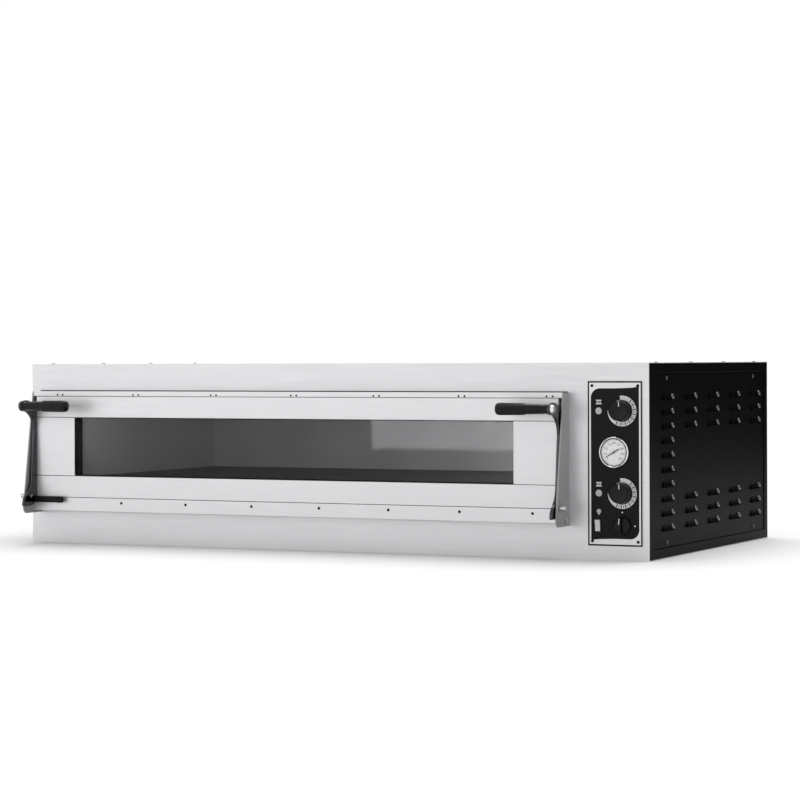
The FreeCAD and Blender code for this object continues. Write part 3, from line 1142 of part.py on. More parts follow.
def rocker_housing():
    """Return the rocker's case with its bezel and the pin that the rocker turns on."""
    half_x, half_z = rocker_case_half_sizes()
    case = block(ROCKER_X - half_x, ROCKER_X + half_x, PLATE_FACE_Y, PLATE_FACE_Y + ROCKER_DEPTH,
                 ROCKER_Z - half_z, ROCKER_Z + half_z)
    bezel = block(ROCKER_X - ROCKER_BEZEL[0] / 2, ROCKER_X + ROCKER_BEZEL[0] / 2,
                  PLATE_FACE_Y - ROCKER_BEZEL_HEIGHT, PLATE_FACE_Y,
                  ROCKER_Z - ROCKER_BEZEL[1] / 2, ROCKER_Z + ROCKER_BEZEL[1] / 2)
    cavity = block(ROCKER_X - half_x + ROCKER_WALL, ROCKER_X + half_x - ROCKER_WALL,
                   PLATE_FACE_Y - ROCKER_BEZEL_HEIGHT, PLATE_FACE_Y + ROCKER_DEPTH - ROCKER_WALL,
                   ROCKER_Z - half_z + ROCKER_WALL, ROCKER_Z + half_z - ROCKER_WALL)
    pivot_y = PLATE_FACE_Y + ROCKER_PIVOT_DEPTH
    pin = rod(ROCKER_X - half_x, pivot_y, ROCKER_Z, ALONG_X, ROCKER_PIN_RADIUS, 2 * half_x)
    return joined([joined([case, bezel]).cut(cavity), pin])


def rocker():
    """Return the rocker, tilted to its off position, with its bore for the pin."""
    width, height = ROCKER_SIZE
    half = height / 2
    pivot_y = PLATE_FACE_Y + ROCKER_PIVOT_DEPTH
    face = -CONTROL_PLATE_SHEET - ROCKER_FACE_PROUD
    x0 = ROCKER_X - width / 2
    back_y = pivot_y + 2 * ROCKER_PIN_RADIUS
    face_y = FRONT_Y + face
    points = [
        Vector(x0, face_y, ROCKER_Z - half),
        Vector(x0, face_y + ROCKER_WALL, ROCKER_Z),
        Vector(x0, face_y, ROCKER_Z + half),
        Vector(x0, PLATE_FACE_Y, ROCKER_Z + half),
        Vector(x0, back_y, ROCKER_Z + 3 * ROCKER_PIN_RADIUS),
        Vector(x0, back_y, ROCKER_Z - 3 * ROCKER_PIN_RADIUS),
        Vector(x0, PLATE_FACE_Y, ROCKER_Z - half),
    ]
    body = Part.Face(Part.makePolygon(points + [points[0]])).extrude(Vector(width, 0, 0))
    body = body.cut(rod(x0, pivot_y, ROCKER_Z, ALONG_X, ROCKER_PIN_RADIUS + ROCKER_PIN_CLEARANCE, width))
    body.rotate(Vector(x0, pivot_y, ROCKER_Z), ALONG_X, ROCKER_TILT_DEG)
    return body


def indicator_lamps():
    """Return the lamps: a low lens on the plate and a body behind it."""
    lamps = []
    for x, z, radius in LAMP_PLACES:
        lens = rod(x, PLATE_FACE_Y, z, FORWARD, radius, LAMP_HEIGHT)
        body = rod(x, PLATE_FACE_Y, z, -FORWARD, LAMP_BODY_RADIUS, LAMP_BODY_LENGTH)
        lamps.append(joined([lens, body]))
    return group(lamps)


def build_controls():
    """Write the control plate and everything on it."""
    save("control_plate", control_plate())
    screws = []
    for x, z in control_screw_places():
        screws.append(screw(x, PLATE_FACE_Y, z, FORWARD, CONTROL_SCREW_RADIUS, CONTROL_SCREW_HEAD_HEIGHT,
                            SCREW_SHANK_RADIUS, CONTROL_SCREW_LENGTH))
    save("control_screws", group(screws))
    save("thermostats", group([switch_body(z, THERMOSTAT_SIZE) for z in (UPPER_KNOB_Z, LOWER_KNOB_Z)]))
    save("selector_switch", switch_body(SELECTOR_Z, SELECTOR_BODY_SIZE))
    save("upper_knob", thermostat_knob(UPPER_KNOB_Z))
    save("lower_knob", thermostat_knob(LOWER_KNOB_Z))
    save("selector_knob", selector_knob())
    thermometer()
    save("indicator_lamps", indicator_lamps())
    save("rocker_housing", rocker_housing())
    save("rocker", rocker())


def main():
    """Write every sub-part."""
    os.makedirs("parts", exist_ok=True)
    build_shell()
    build_front()
    build_chamber()
    build_electrics()
    build_door_leaf()
    build_levers()
    build_controls()


main()
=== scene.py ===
"""Countertop pizza oven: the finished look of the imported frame, in metres and in the frame's own axes.

X runs to the right, Y to the back and Z up. Each sub-assembly is a class that builds its own pieces
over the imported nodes, and the studio class adds the floor, the light and the camera.
"""
import logging
import math
from collections.abc import Iterable, Mapping, Sequence
from dataclasses import dataclass
from enum import Enum
from typing import Any

import bmesh
import bpy
from mathutils import Matrix, Vector


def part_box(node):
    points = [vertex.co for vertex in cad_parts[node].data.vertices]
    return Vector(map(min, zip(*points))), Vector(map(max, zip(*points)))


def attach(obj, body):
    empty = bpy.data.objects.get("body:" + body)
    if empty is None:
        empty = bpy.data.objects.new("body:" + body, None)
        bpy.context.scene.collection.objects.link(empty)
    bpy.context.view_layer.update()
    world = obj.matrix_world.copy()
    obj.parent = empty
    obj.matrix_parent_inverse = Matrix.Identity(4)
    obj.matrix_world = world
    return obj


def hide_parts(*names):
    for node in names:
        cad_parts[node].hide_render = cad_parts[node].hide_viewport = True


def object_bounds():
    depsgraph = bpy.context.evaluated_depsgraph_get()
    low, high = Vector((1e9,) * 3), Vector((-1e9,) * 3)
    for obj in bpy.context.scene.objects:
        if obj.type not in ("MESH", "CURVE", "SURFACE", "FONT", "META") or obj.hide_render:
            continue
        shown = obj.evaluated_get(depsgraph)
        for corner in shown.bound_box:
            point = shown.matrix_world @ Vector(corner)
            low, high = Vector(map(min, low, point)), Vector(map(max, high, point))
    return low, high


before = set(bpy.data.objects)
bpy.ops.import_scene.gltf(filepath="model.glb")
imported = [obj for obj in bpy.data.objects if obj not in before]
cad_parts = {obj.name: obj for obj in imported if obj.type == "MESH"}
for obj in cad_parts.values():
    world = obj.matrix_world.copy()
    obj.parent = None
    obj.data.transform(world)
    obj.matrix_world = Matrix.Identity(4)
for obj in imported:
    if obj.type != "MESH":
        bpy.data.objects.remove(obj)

CAD_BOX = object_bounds()
LOG = logging.getLogger("pizza_oven")
MM = 0.001
FRONT = Matrix.Rotation(math.pi / 2, 4, "X")
UP = Vector((0.0, 0.0, 1.0))
FORWARD = Vector((0.0, -1.0, 0.0))
RIGHT = Vector((1.0, 0.0, 0.0))

Shape = bmesh.types.BMesh
Box = tuple[Vector, Vector]


# ---- finishes ----
class Grain(Enum):
    """The way a surface's pattern is drawn out, as a share of its pitch along each axis."""

    EVEN = (1.0, 1.0, 1.0)
    ALONG_X = (0.015, 1.0, 1.0)
    ALONG_Z = (1.0, 1.0, 0.02)


def linear(hex_colour: str) -> tuple[float, float, float, float]:
    """Turn an sRGB hex colour to linear light.

    Args:
        hex_colour: A colour such as "#d6d6d7".

    Returns:
        The linear red, green, blue and an alpha of 1.
    """
    channels = [int(hex_colour[i:i + 2], 16) / 255 for i in (1, 3, 5)]
    steps = [c / 12.92 if c <= 0.04045 else ((c + 0.055) / 1.055) ** 2.4 for c in channels]
    return steps[0], steps[1], steps[2], 1.0


def add_node(tree: bpy.types.NodeTree, kind: str, inputs: Mapping[str | int, Any] | None = None,
             **settings: Any) -> bpy.types.Node:
    """Add a node with its settings and its links.

    Args:
        tree: The node tree that it goes into.
        kind: The node's type.
        inputs: A value or another node's output for each named or numbered input.
        **settings: The node's own settings.

    Returns:
        The new node.
    """
    node = tree.nodes.new(kind)
    for name, value in settings.items():
        setattr(node, name, value)
    for key, value in (inputs or {}).items():
        if isinstance(value, bpy.types.NodeSocket):
            tree.links.new(value, node.inputs[key])
        else:
            node.inputs[key].default_value = value
    return node


@dataclass(frozen=True)
class Finish:
    """One surface: what it is made of and the pattern that its making leaves; some finishes also carry painted
    light or shade.

    grain_mm is the pitch of the fine pattern, grain_depth_mm its height and grain_shade the share by
    which it darkens the colour. patch_mm and patch_shade do the same for broad unevenness.
    """

    name: str
    colour: str
    roughness: float
    metallic: float = 0.0
    specular: float = 0.5
    alpha: float = 1.0
    grain: Grain = Grain.EVEN
    grain_mm: float = 1.0
    grain_depth_mm: float = 0.01
    grain_shade: float = 0.05
    patch_mm: float = 90.0
    patch_shade: float = 0.04

    def shaded(self, share: float) -> tuple[float, float, float, float]:
        """Return the colour in linear light, darkened by a share."""
        red, green, blue, alpha = linear(self.colour)
        return red * (1 - share), green * (1 - share), blue * (1 - share), alpha

    def material(self) -> bpy.types.Material:
        """Make the finish's material, or find it where it is made already.

        Returns:
            The material.
        """
        made = bpy.data.materials.get(self.name)
        if made:
            return made
        made = bpy.data.materials.new(self.name)
        made.use_nodes = True
        tree = made.node_tree
        tree.nodes.clear()
        noise_low, noise_high = 0.3, 0.7
        place = add_node(tree, "ShaderNodeTexCoord").outputs["Object"]
        drawn = add_node(tree, "ShaderNodeMapping", {"Vector": place, "Scale": self.grain.value})
        fine = add_node(tree, "ShaderNodeTexNoise", {
            "Vector": drawn.outputs[0], "Scale": 1 / (self.grain_mm * MM), "Detail": 3.0, "Roughness": 0.6})
        broad = add_node(tree, "ShaderNodeTexNoise", {
            "Vector": place, "Scale": 1 / (self.patch_mm * MM), "Detail": 2.0})
        grained = add_node(tree, "ShaderNodeMix", {
            0: fine.outputs[0], 6: self.shaded(0.0), 7: self.shaded(2 * self.grain_shade)}, data_type="RGBA")
        patched = add_node(tree, "ShaderNodeMix", {
            0: broad.outputs[0], 6: grained.outputs[2], 7: self.shaded(2 * self.patch_shade)},
            data_type="RGBA")
        spread = 0.25 * self.roughness
        rough = add_node(tree, "ShaderNodeMapRange", {
            0: fine.outputs[0], 1: noise_low, 2: noise_high, 3: self.roughness - spread,
            4: self.roughness + spread})
        bump = add_node(tree, "ShaderNodeBump", {
            "Strength": 0.6, "Distance": self.grain_depth_mm * MM, "Height": fine.outputs[0]})
        shader = add_node(tree, "ShaderNodeBsdfPrincipled", {
            "Base Color": patched.outputs[2] if self.patch_shade else grained.outputs[2],
            "Roughness": rough.outputs[0], "Metallic": self.metallic, "Alpha": self.alpha,
            "Specular IOR Level": self.specular, "Normal": bump.outputs[0]})
        add_node(tree, "ShaderNodeOutputMaterial", {"Surface": shader.outputs[0]})
        return made


# Brushed 430 stainless: long fine lines along the front, a bright soft sheen.
BRUSHED_STAINLESS = Finish("brushed_stainless", "#d6d6d8", 0.42, 0.7, grain=Grain.ALONG_X,
                           grain_mm=1.1, grain_depth_mm=0.003, grain_shade=0.025, patch_shade=0.01)
# Black polyester powder coat: orange peel that only shows where light grazes it.
POWDER_BLACK = Finish("black_powder_coat", "#070709", 0.34, specular=0.02, grain_mm=1.6,
                      grain_depth_mm=0.02, grain_shade=0.1)
# Painted highlight: the black coat made pale and glossy on the rounded rear ends of the louvres, where their
# shoulders catch the light.
LOUVRE_END_PAINTED_HIGHLIGHT = Finish("louvre_end_painted_highlight", "#6c6d72", 0.22, 0.6, grain_mm=1.6,
                         grain_depth_mm=0.01, grain_shade=0.1)
# Steel cheeks, painted grey as the shade that falls on their side faces; duller than the front.
CHEEK_STEEL_PAINTED_SHADE = Finish("cheek_steel_painted_shade", "#a2a2a4", 0.5, 0.3, grain=Grain.ALONG_Z, grain_mm=1.0,
                    grain_depth_mm=0.004, grain_shade=0.05)
# Hot-dip aluminised steel: a matt silver skin with faint spangle.
ALUMINISED_STEEL = Finish("aluminised_steel", "#a9aaad", 0.42, 0.85, grain_mm=6.0, grain_depth_mm=0.008,
                          grain_shade=0.12, patch_mm=60.0, patch_shade=0.06)
# Chrome plate over a polished zinc casting: nearly a mirror, slightly wavy.
CHROME = Finish("chrome_plate", "#e4e4e8", 0.14, 1.0, grain_mm=14.0, grain_depth_mm=0.04,
                grain_shade=0.02, patch_shade=0.02)
# Chrome plate over a zinc casting, its colour darkened as a painted reflection of dark surroundings: a dark mirror
# with bright edges.
CHROME_PAINTED_DARK = Finish("chrome_plate_painted_dark_reflection", "#464649", 0.14, 1.0, grain_mm=14.0, grain_depth_mm=0.04,
                      grain_shade=0.05, patch_shade=0.03)
# Chamber sheet dulled by baking: matt grey with brown-grey patches.
BAKED_STEEL = Finish("oven_dulled_steel", "#a3a2a4", 0.6, 0.2, grain_mm=5.0, grain_depth_mm=0.01,
                     grain_shade=0.1, patch_mm=120.0, patch_shade=0.1)
# Back sheet of the chamber, aluminised and matt, with a coarse spangle; painted lighter than the side sheets as
# the lamp light that falls on it.
SPANGLED_STEEL_PAINTED_LIT = Finish("spangled_sheet_painted_lit", "#d2d2d4", 0.7, 0.1, grain_mm=5.0, grain_depth_mm=0.05,
                        grain_shade=0.4, patch_mm=160.0, patch_shade=0.05)
# Zinc-plated steel fasteners: silvery with a dull bloom.
ZINC_PLATE = Finish("zinc_plate", "#c2c2c0", 0.3, 1.0, grain_mm=2.0, grain_depth_mm=0.006, grain_shade=0.1)
# Passivated zinc on the cover screws: dark and dull.
DULL_ZINC = Finish("dull_zinc_plate", "#68686a", 0.5, 0.8, grain_mm=2.0, grain_depth_mm=0.006,
                   grain_shade=0.1)
# Black silicone glazing spacer and enamel border: no shine at all.
BLACK_SILICONE = Finish("black_silicone", "#050506", 0.85, specular=0.1, grain_mm=1.5, grain_shade=0.1)
# Blackened steel screws.
BLACK_OXIDE = Finish("black_oxide_steel", "#0b0b0d", 0.45, 0.3, specular=0.2, grain_mm=1.2, grain_shade=0.15)
# Moulded phenolic: deep black with a slight bloom from handling.
PHENOLIC = Finish("moulded_phenolic", "#070708", 0.28, specular=0.2, grain_mm=2.5, grain_depth_mm=0.01,
                  grain_shade=0.12)
# Gloss black ABS for the switch bezels.
GLOSS_ABS = Finish("gloss_abs", "#09090a", 0.2, specular=0.25, grain_mm=3.0, grain_depth_mm=0.006)
# Dark tinted toughened glass: holds back half the light and mirrors the room a little.
TINTED_GLASS = Finish("tinted_toughened_glass", "#101013", 0.04, specular=0.2, alpha=0.22, grain_mm=60.0,
                      grain_depth_mm=0.004, grain_shade=0.03, patch_shade=0.03)
# Clear toughened glass inside: only its mirror shows.
CLEAR_GLASS = Finish("clear_toughened_glass", "#8f9392", 0.04, specular=0.4, alpha=0.06, grain_mm=60.0,
                     grain_depth_mm=0.004, grain_shade=0.02, patch_shade=0.02)
# Fired cordierite baking stone: open pores and scorched patches, its colour also darkened as painted shade inside
# the chamber.
CORDIERITE_PAINTED_SHADE = Finish("cordierite_stone_painted_shade", "#3a362f", 0.85, grain_mm=3.0, grain_depth_mm=0.25,
                    grain_shade=0.2, patch_mm=150.0, patch_shade=0.3)
# Heat-darkened stainless heating rod.
HEATED_STEEL = Finish("heat_darkened_steel", "#3b3936", 0.5, 0.8, grain_mm=4.0, grain_shade=0.15)
# Mineral wool slab: a mat of short yellow-brown fibres.
MINERAL_WOOL = Finish("mineral_wool", "#b0a377", 0.95, grain_mm=2.0, grain_depth_mm=0.8, grain_shade=0.25,
                      patch_mm=80.0, patch_shade=0.1)
# Braided glass-fibre rope seal, drawn as its plaits.
FIBRE_ROPE = Finish("glass_fibre_rope", "#232322", 0.9, grain_mm=3.5, grain_depth_mm=0.5, grain_shade=0.3)
# Screen-printed black ink on the control plate.
BLACK_INK = Finish("black_screen_ink", "#101011", 0.42, specular=0.12, grain_mm=0.8, grain_depth_mm=0.004,
                   grain_shade=0.08)
# Screen-printed white ink.
WHITE_INK = Finish("white_screen_ink", "#e4e4e2", 0.5, grain_mm=0.8, grain_depth_mm=0.004, grain_shade=0.03)
# Grey print on the dial.
GREY_INK = Finish("grey_dial_ink", "#3a3b40", 0.5, grain_mm=0.8, grain_depth_mm=0.004, grain_shade=0.05)
# White lacquered dial plate.
DIAL_LACQUER = Finish("white_dial_lacquer", "#fafafc", 0.4, grain_mm=1.5, grain_depth_mm=0.003,
                      grain_shade=0.02, patch_shade=0.01)
# Thin float glass over the dial.
DIAL_GLASS = Finish("dial_float_glass", "#dfe4e4", 0.03, alpha=0.05, grain_mm=40.0, grain_depth_mm=0.002,
                    grain_shade=0.02, patch_shade=0.01)
# Ribbed polycarbonate lamp lens: pale, with the unlit lamp behind it.
LAMP_LENS = Finish("polycarbonate_lens", "#c9c9c6", 0.18, grain_mm=2.0, grain_depth_mm=0.05, grain_shade=0.15)
# Pale nylon rocker.
ROCKER_NYLON = Finish("pale_nylon_rocker", "#d8d8d4", 0.3, grain_mm=2.0, grain_depth_mm=0.01,
                      grain_shade=0.04)
# Grey polyamide housings inside.
POLYAMIDE = Finish("grey_polyamide", "#2c2d30", 0.55, grain_mm=1.0, grain_depth_mm=0.02, grain_shade=0.1)


# ---- shapes ----
def facing(direction: Vector, place: Vector) -> Matrix:
    """Return the matrix that stands a shape drawn along +Z on a place, facing a direction."""
    return Matrix.Translation(place) @ UP.rotation_difference(direction).to_matrix().to_4x4()


def on_front(place: Vector) -> Matrix:
    """Return the matrix that puts a shape drawn as (right, up, out) on the front at a place."""
    return Matrix.Translation(place) @ FRONT


def middle_of(box: Box) -> Vector:
    """Return the middle of a box."""
    return (box[0] + box[1]) / 2


def outer_end(box: Box) -> tuple[float, Vector]:
    """Find the side of the door that a box lies on.

    Args:
        box: The lowest and the highest corner.

    Returns:
        1 for the right side or -1 for the left one, and the middle of the box's outer end.
    """
    middle = middle_of(box)
    door_middle = (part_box("lever_left")[0].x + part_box("lever_right")[1].x) / 2
    side = math.copysign(1.0, middle.x - door_middle)
    return side, Vector(((box[1] if side > 0 else box[0]).x, middle.y, middle.z))


def transformed(shape: Shape, matrix: Matrix) -> Shape:
    """Return the shape moved by a matrix."""
    bmesh.ops.transform(shape, matrix=matrix, verts=shape.verts)
    return shape


def joined(shapes: Iterable[Shape]) -> Shape:
    """Join shapes.

    Args:
        shapes: The shapes, which are freed.

    Returns:
        One shape that holds them all.
    """
    whole = bmesh.new()
    for shape in shapes:
        carrier = bpy.data.meshes.new("carrier")
        shape.to_mesh(carrier)
        shape.free()
        whole.from_mesh(carrier)
        bpy.data.meshes.remove(carrier)
    return whole


def cuboid(low: Sequence[float], high: Sequence[float]) -> Shape:
    """Make a box.

    Args:
        low: Its lowest corner.
        high: Its highest corner.

    Returns:
        The box.
    """
    shape = bmesh.new()
    place = Matrix.Translation((Vector(low) + Vector(high)) / 2)
    size = Matrix.Diagonal((*(Vector(high) - Vector(low)), 1.0))
    bmesh.ops.create_cube(shape, size=1.0, matrix=place @ size)
    return shape


def rounded(shape: Shape, radius: float, segments: int = 2, sharp_deg: float = 35.0) -> Shape:
    """Round the sharp edges of a shape.

    Args:
        shape: The shape to work on.
        radius: The width of the round.
        segments: The number of steps across it.
        sharp_deg: Edges that turn by more than this are rounded.

    Returns:
        The same shape.
    """
    limit = math.radians(sharp_deg)
    edges = [e for e in shape.edges if len(e.link_faces) == 2 and e.calc_face_angle(0.0) > limit]
    bmesh.ops.bevel(shape, geom=edges, offset=radius, offset_type="OFFSET", segments=segments,
                    profile=0.5, affect="EDGES", clamp_overlap=False, material=-1)
    return shape


def lathe(profile: Sequence[tuple[float, float]], steps: int = 48) -> Shape:
    """Turn a profile round the Z axis.

    Args:
        profile: (radius, height) points.
        steps: The number of steps round the axis.

    Returns:
        The turned shape, closed where the profile starts and ends on the axis.
    """
    shape = bmesh.new()
    verts = [shape.verts.new((radius, 0.0, height)) for radius, height in profile]
    edges = [shape.edges.new(pair) for pair in zip(verts, verts[1:])]
    bmesh.ops.spin(shape, geom=verts + edges, cent=(0, 0, 0), axis=(0, 0, 1), dvec=(0, 0, 0),
                   angle=math.tau, steps=steps, use_merge=True, use_duplicate=False)
    bmesh.ops.remove_doubles(shape, verts=shape.verts, dist=1e-7)
    bmesh.ops.recalc_face_normals(shape, faces=shape.faces)
    return shape


def fluted(profile: Sequence[tuple[float, float]], flutes: int, start: float, end: float,
           share: float) -> Shape:
    """Turn a profile and sink narrow flutes round it.

    Args:
        profile: (radius, height) points.
        flutes: The number of flutes.
        start: The height that they start above.
        end: The height that they end below.
        share: The share of the radius that each one takes.

    Returns:
        The fluted shape.
    """
    steps_each = 4
    shape = lathe(profile, flutes * steps_each)
    for vert in shape.verts:
        step = round(math.atan2(vert.co.y, vert.co.x) / math.tau * flutes * steps_each)
        if start < vert.co.z < end and step % steps_each == 0:
            vert.co.xy *= 1 - share
    return shape


def raised(shape: Shape, height: float) -> Shape:
    """Give a flat shape a thickness upwards.

    Args:
        shape: The flat shape.
        height: Its thickness.

    Returns:
        The same shape.
    """
    grown = bmesh.ops.extrude_face_region(shape, geom=list(shape.faces))
    verts = [item for item in grown["geom"] if isinstance(item, bmesh.types.BMVert)]
    bmesh.ops.translate(shape, vec=(0, 0, height), verts=verts)
    bmesh.ops.recalc_face_normals(shape, faces=shape.faces)
    return shape


def turned(degrees: float) -> Matrix:
    """Return the matrix that turns a print clockwise about the origin."""
    return Matrix.Rotation(-math.radians(degrees), 4, "Z")


def sector(inner: float, outer: float, start_deg: float, sweep_deg: float, steps: int) -> Shape:
    """Make a flat ring sector that runs clockwise.

    Args:
        inner: Its inner radius.
        outer: Its outer radius.
        start_deg: The angle where it starts, clockwise from 12 o'clock.
        sweep_deg: How far it runs.
        steps: The number of steps along it.

    Returns:
        The sector.
    """
    shape = bmesh.new()
    verts = [shape.verts.new((0.0, radius, 0.0)) for radius in (inner, outer)]
    edge = shape.edges.new(verts)
    bmesh.ops.spin(shape, geom=[*verts, edge], cent=(0, 0, 0), axis=(0, 0, -1), dvec=(0, 0, 0),
                   angle=math.radians(sweep_deg), steps=steps, use_merge=False, use_duplicate=False)
    return transformed(shape, turned(start_deg))


def disc(radius: float, corners: int) -> Shape:
    """Make a flat regular polygon, which many corners make a disc.

    Args:
        radius: Its radius.
        corners: The number of its corners.

    Returns:
        The polygon.
    """
    shape = bmesh.new()
    bmesh.ops.create_circle(shape, cap_ends=True, segments=corners, radius=radius)
    return shape


def panel(width: float, height: float) -> Shape:
    """Make a flat rectangle about the origin.

    Args:
        width: Its width.
        height: Its height.

    Returns:
        The rectangle.
    """
    shape = bmesh.new()
    size = Matrix.Diagonal((width, height, 1.0, 1.0))
    bmesh.ops.create_grid(shape, x_segments=1, y_segments=1, size=0.5, matrix=size)
    return shape


def border(width: float, height: float, upright: float, level: float) -> Shape:
    """Make a flat rectangular ring.

    Args:
        width: Its outer width.
        height: Its outer height.
        upright: The width of its upright strips.
        level: The width of its level strips.

    Returns:
        The ring.
    """
    shape = panel(width, height)
    bmesh.ops.inset_region(shape, faces=list(shape.faces), thickness=upright, depth=0.0,
                           use_boundary=True, use_even_offset=True)
    inner = min(shape.faces, key=lambda face: face.calc_center_median().length)
    for vert in inner.verts:
        vert.co.y = math.copysign(height / 2 - level, vert.co.y)
    bmesh.ops.delete(shape, geom=[inner], context="FACES_ONLY")
    return shape


def tick(width: float, length: float, reach: float, turn_deg: float, height: float) -> Shape:
    """Make one raised mark of a round scale.

    Args:
        width: Its width.
        length: Its length along the radius.
        reach: The radius of its middle.
        turn_deg: Its angle, clockwise from 12 o'clock.
        height: The height of the print.

    Returns:
        The mark.
    """
    place = turned(turn_deg) @ Matrix.Translation((0.0, reach, 0.0))
    return transformed(raised(panel(width, length), height), place)


def lettering(text: str, size: float, thickness: float) -> Shape:
    """Make figures as a raised print, centred on the origin.

    Args:
        text: The figures.
        size: The size of the type.
        thickness: The height of the print.

    Returns:
        The figures.
    """
    curve = bpy.data.curves.new("figures", "FONT")
    curve.body = text
    curve.size = size
    curve.extrude = thickness / 2
    curve.align_x = "CENTER"
    curve.align_y = "CENTER"
    holder = bpy.data.objects.new("figures", curve)
    mesh = bpy.data.meshes.new_from_object(holder)
    shape = bmesh.new()
    shape.from_mesh(mesh)
    bpy.data.objects.remove(holder)
    bpy.data.curves.remove(curve)
    bpy.data.meshes.remove(mesh)
    return shape


def cross_screw(radius: float, height: float) -> Shape:
    """Make a pan head with a cross recess, seated at the origin and facing +Z.

    Args:
        radius: The head's radius.
        height: The head's height.

    Returns:
        The head, open where it sits on the sheet.
    """
    arm_half = radius * 0.16
    arm_reach = radius * 0.36
    near_top = height * 0.9
    head = lathe([(radius, 0.0), (radius, height * 0.45), (radius * 0.9, height * 0.8),
                  (radius * 0.74, height)], 24)
    bmesh.ops.delete(head, geom=[f for f in head.faces if f.normal.z < -0.99], context="FACES")
    rim = [e for e in head.edges if e.is_boundary and e.verts[0].co.z > near_top]
    square = bmesh.ops.create_circle(
        head, cap_ends=False, segments=4, radius=arm_half * math.sqrt(2),
        matrix=Matrix.Translation((0, 0, height)) @ Matrix.Rotation(math.pi / 4, 4, "Z"))
    outline = list(dict.fromkeys(e for v in square["verts"] for e in v.link_edges))
    for edge in outline:
        way = (edge.verts[0].co + edge.verts[1].co) / 2 - Vector((0, 0, height))
        grown = bmesh.ops.extrude_edge_only(head, edges=[edge])["geom"]
        tips = [item for item in grown if isinstance(item, bmesh.types.BMVert)]
        bmesh.ops.translate(head, vec=way.normalized() * arm_reach, verts=tips)
    arms = [f for f in head.faces if all(abs(v.co.z - height) < 1e-9 and v.co.xy.length < radius * 0.6
                                         for v in f.verts)]
    arms += bmesh.ops.contextual_create(head, geom=outline)["faces"]
    sunk = bmesh.ops.extrude_face_region(head, geom=arms)
    floor = [item for item in sunk["geom"] if isinstance(item, bmesh.types.BMVert)]
    bmesh.ops.delete(head, geom=[f for f in arms if f.is_valid], context="FACES_ONLY")
    mouth = [e for e in head.edges if e.is_boundary and e not in rim
             and all(v.co.z > near_top for v in e.verts)]
    bmesh.ops.translate(head, vec=(0, 0, -height * 0.6), verts=floor)
    bmesh.ops.bridge_loops(head, edges=[*rim, *mouth])
    bmesh.ops.recalc_face_normals(head, faces=head.faces)
    return head


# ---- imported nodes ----
def merged(node: str) -> Shape:
    """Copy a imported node's mesh and merge its doubles.

    Args:
        node: The node's name.

    Returns:
        The copy.
    """
    shape = bmesh.new()
    shape.from_mesh(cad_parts[node].data)
    bmesh.ops.remove_doubles(shape, verts=shape.verts, dist=1e-6)
    return shape


def solids(node: str) -> list[list[Vector]]:
    """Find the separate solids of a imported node.

    Args:
        node: The node's name.

    Returns:
        The corners of each solid, in order of place.
    """
    shape = merged(node)
    waiting = set(shape.verts)
    found = []
    while waiting:
        reached = {waiting.pop()}
        to_visit = list(reached)
        while to_visit:
            vert = to_visit.pop()
            fresh = [e.other_vert(vert) for e in vert.link_edges if e.other_vert(vert) not in reached]
            reached.update(fresh)
            to_visit.extend(fresh)
        waiting -= reached
        found.append([v.co.copy() for v in reached])
    shape.free()
    return sorted(found, key=lambda places: tuple(round(c, 5) for c in box_of(places)[0]))


def box_of(places: Sequence[Vector]) -> Box:
    """Return the box of a set of places."""
    return tuple(Vector([pick(p[i] for p in places) for i in range(3)]) for pick in (min, max))


def solid_boxes(node: str) -> list[Box]:
    """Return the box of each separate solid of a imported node, in order of place."""
    return [box_of(places) for places in solids(node)]


def softened(node: str, width: float, segments: int = 2) -> Shape:
    """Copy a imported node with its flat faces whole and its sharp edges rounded.

    Args:
        node: The node's name.
        width: The width of the rounds.
        segments: The number of steps across them.

    Returns:
        The copy.
    """
    shape = merged(node)
    bmesh.ops.dissolve_limit(shape, angle_limit=math.radians(0.6), verts=shape.verts, edges=shape.edges)
    return rounded(shape, width, segments)


# ---- lights ----
def hang_light(name: str, kind: str, power: float, place: Vector, way: Vector, **settings: Any) -> None:
    """Hang a light.

    Args:
        name: Its name.
        kind: Its kind, in the renderer's word.
        power: Its power in watts, or a sun's strength in watts a square metre.
        place: Where it hangs.
        way: The direction that it shines in.
        **settings: Its other settings.
    """
    data = bpy.data.lights.new(name, kind)
    data.energy = power
    for setting, value in settings.items():
        setattr(data, setting, value)
    light = bpy.data.objects.new(name, data)
    light.location = place
    light.rotation_euler = way.to_track_quat("-Z", "Y").to_euler()
    bpy.context.scene.collection.objects.link(light)


